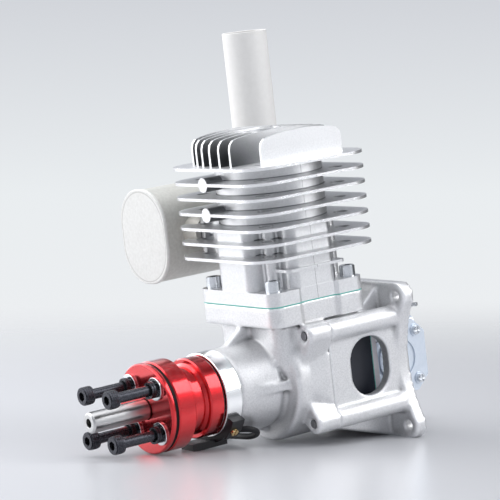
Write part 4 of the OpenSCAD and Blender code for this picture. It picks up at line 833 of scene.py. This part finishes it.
springs = bmesh.new()
for x, z in bolt_places:
    spring_coil(springs, x, z, washer_y - flat_washer)
bmesh.ops.holes_fill(springs, edges=[e for e in springs.edges if e.is_boundary], sides=4)
bmesh.ops.recalc_face_normals(springs, faces=springs.faces)
spring = add_piece("spring_coils", springs, "crank", oxide, ("spring_washers",))
print("spring points:", len(spring.data.vertices))

# %% [markdown]
# ## Table, backdrop and light
# The photograph has a pale sweep of paper: darker at the top, almost white beside the cylinder, and soft
# grey on the table. The table is one large disc that fades into the world's colour, so no edge shows from
# any side. Large softboxes give metal its bright bands, and the gaps between them give it its dark ones.

# %% Table
table_r = 3.0
fade_start = 0.2
fade_end = 0.9
table_place = Matrix.Translation((0, 0, foot_z)) @ Matrix.Rotation(-rest_tilt, 4, "X")
table_shape = bmesh.new()
bmesh.ops.create_circle(table_shape, cap_ends=True, segments=96, radius=table_r)
bmesh.ops.transform(table_shape, matrix=table_place, verts=table_shape.verts)
table_mesh = bpy.data.meshes.new("table")
table_shape.to_mesh(table_mesh)
table_shape.free()
table = bpy.data.objects.new("table", table_mesh)
scene.collection.objects.link(table)
paper = Finish("table_paper")
paper.set(base_color=(0.56, 0.565, 0.585, 1), roughness=0.28, metallic=0.0, specular_ior_level=0.45)
away = distance(paper.x, paper.y + 0.05)
backface = paper.node("NewGeometry", {}, output="Backfacing")
seen = (1 - away.ramp(fade_start, fade_end)) * (1 - backface)
clear = paper.node("BsdfTransparent", {})
joined = paper.node("MixShader", {0: seen, 1: clear, 2: Value(paper, paper.shader.outputs[0])})
paper.tree.links.new(joined.socket, paper.tree.nodes["Material Output"].inputs["Surface"])
dress(table, paper)

# %% [markdown]
# The world has two pictures. The camera, and rays that pass through the faded table, see the backdrop: a
# sweep of greys that follows the height in the image. Diffuse light comes from a tent of pale paper, brighter
# near the horizon and darker above, and glossy rays see that tent with a little of the backdrop in it. The
# tent is dimmer towards the camera's side and almost dark straight behind the engine, which gives the bright
# metal its dark bands.

# %% World
world = bpy.data.worlds.new("studio")
scene.world = world
world.use_nodes = True
sky = world.node_tree
sky.nodes.clear()


def sky_node(kind, inputs=(), output=0, **settings):
    """Adds a node to the world. Returns one output's socket, or the node."""
    made = sky.nodes.new("ShaderNode" + kind)
    for key, value in settings.items():
        setattr(made, key, value)
    for key, value in dict(inputs).items():
        if isinstance(value, bpy.types.NodeSocket):
            sky.links.new(value, made.inputs[key])
        else:
            made.inputs[key].default_value = value
    return made if output is None else made.outputs[output]


def towards(way):
    """1 where the view runs along a unit vector, -1 where it runs against it."""
    return sky_node("VectorMath", {0: direction, 1: tuple(way)}, output="Value", operation="DOT_PRODUCT")


def fall(value, low, high, before, after):
    """One level below low, another above high, smooth between."""
    return sky_node("MapRange", {0: value, 1: low, 2: high, 3: before, 4: after},
                    interpolation_type="SMOOTHSTEP")


def sky_ramp(value, low, high, stops):
    """A colour that follows a value from low to high through its stops, which run from 0 to 1."""
    share = sky_node("MapRange", {0: value, 1: low, 2: high})
    ramp = sky_node("ValToRGB", {0: share}, output=None)
    elements = ramp.color_ramp.elements
    for position, _ in stops[1:-1]:
        elements.new(position)
    for element, (_, colour) in zip(elements, stops):
        element.color = (*colour, 1)
    return ramp.outputs[0]


direction = sky_node("TexCoord", output="Generated")
backdrop = sky_ramp(towards(image_up), -0.12, 0.14, (
    (0.0, (0.74, 0.75, 0.79)), (0.35, (0.84, 0.86, 0.88)), (0.55, (0.82, 0.85, 0.87)),
    (0.85, (0.65, 0.67, 0.71)), (1.0, (0.62, 0.64, 0.68)),
))
upward = sky_node("SeparateXYZ", {0: direction}, output=2)
tent = sky_ramp(upward, -0.2, 1.0, (
    (0.0, (0.62, 0.64, 0.68)), (0.22, (0.72, 0.74, 0.78)), (0.42, (0.50, 0.53, 0.59)),
    (0.65, (0.26, 0.28, 0.33)), (1.0, (0.46, 0.48, 0.53)),
))
room = fall(towards((0.81, -0.58, 0.0)), 0.40, 0.85, 1.12, 0.92)
rear = fall(towards((-0.10, 0.995, 0.0)), 0.50, 0.88, 1.0, 0.12)
strength = sky_node("Math", {0: room, 1: rear}, operation="MULTIPLY")
level = sky_node("Background", {0: tent, 1: strength})
shown = sky_node("Background", {0: backdrop, 1: 1.0})
mirrored = sky_node("MixRGB", {0: 0.15, 1: tent, 2: backdrop})
reflected = sky_node("Background", {0: mirrored, 1: strength})
rays = sky_node("LightPath", output=None)
seen_through = sky_node("Math", {0: rays.outputs["Is Camera Ray"], 1: rays.outputs["Is Transmission Ray"]},
                        operation="MAXIMUM")
lit = sky_node("MixShader", {0: rays.outputs["Is Glossy Ray"], 1: level, 2: reflected})
mixed = sky_node("MixShader", {0: seen_through, 1: lit, 2: shown})
sky.links.new(mixed, sky_node("OutputWorld", output=None).inputs["Surface"])


# %% Softboxes
def softbox(name, azimuth, elevation, away, size, radiance):
    """A rectangular lamp that looks at the engine, from a direction in degrees round +X and above level."""
    light = bpy.data.lights.new(name, "AREA")
    light.shape = "RECTANGLE"
    light.size, light.size_y = size
    light.energy = radiance * math.pi * size[0] * size[1]
    obj = bpy.data.objects.new(name, light)
    a = math.radians(azimuth)
    e = math.radians(elevation)
    out = Vector((math.cos(a) * math.cos(e), math.sin(a) * math.cos(e), math.sin(e)))
    faced = out.to_track_quat("Z", "Y").to_matrix().to_4x4()
    obj.matrix_world = Matrix.Translation(lamp_target + out * away) @ faced
    scene.collection.objects.link(obj)


lamp_target = Vector((0, -0.05, 0.03))
softbox("key", 48, 27, 1.0, (0.5, 0.8), 4.3)
softbox("left", 215, 30, 1.1, (1.6, 1.1), 2.8)
softbox("overhead", 130, 80, 0.9, (0.9, 0.9), 1.6)
softbox("front_top", -40, 55, 1.0, (1.0, 0.8), 0.9)

# %% [markdown]
# ## Image
# The colours are shown as they are, with no film curve.

# %% Look of the image
scene.view_settings.view_transform = "Standard"
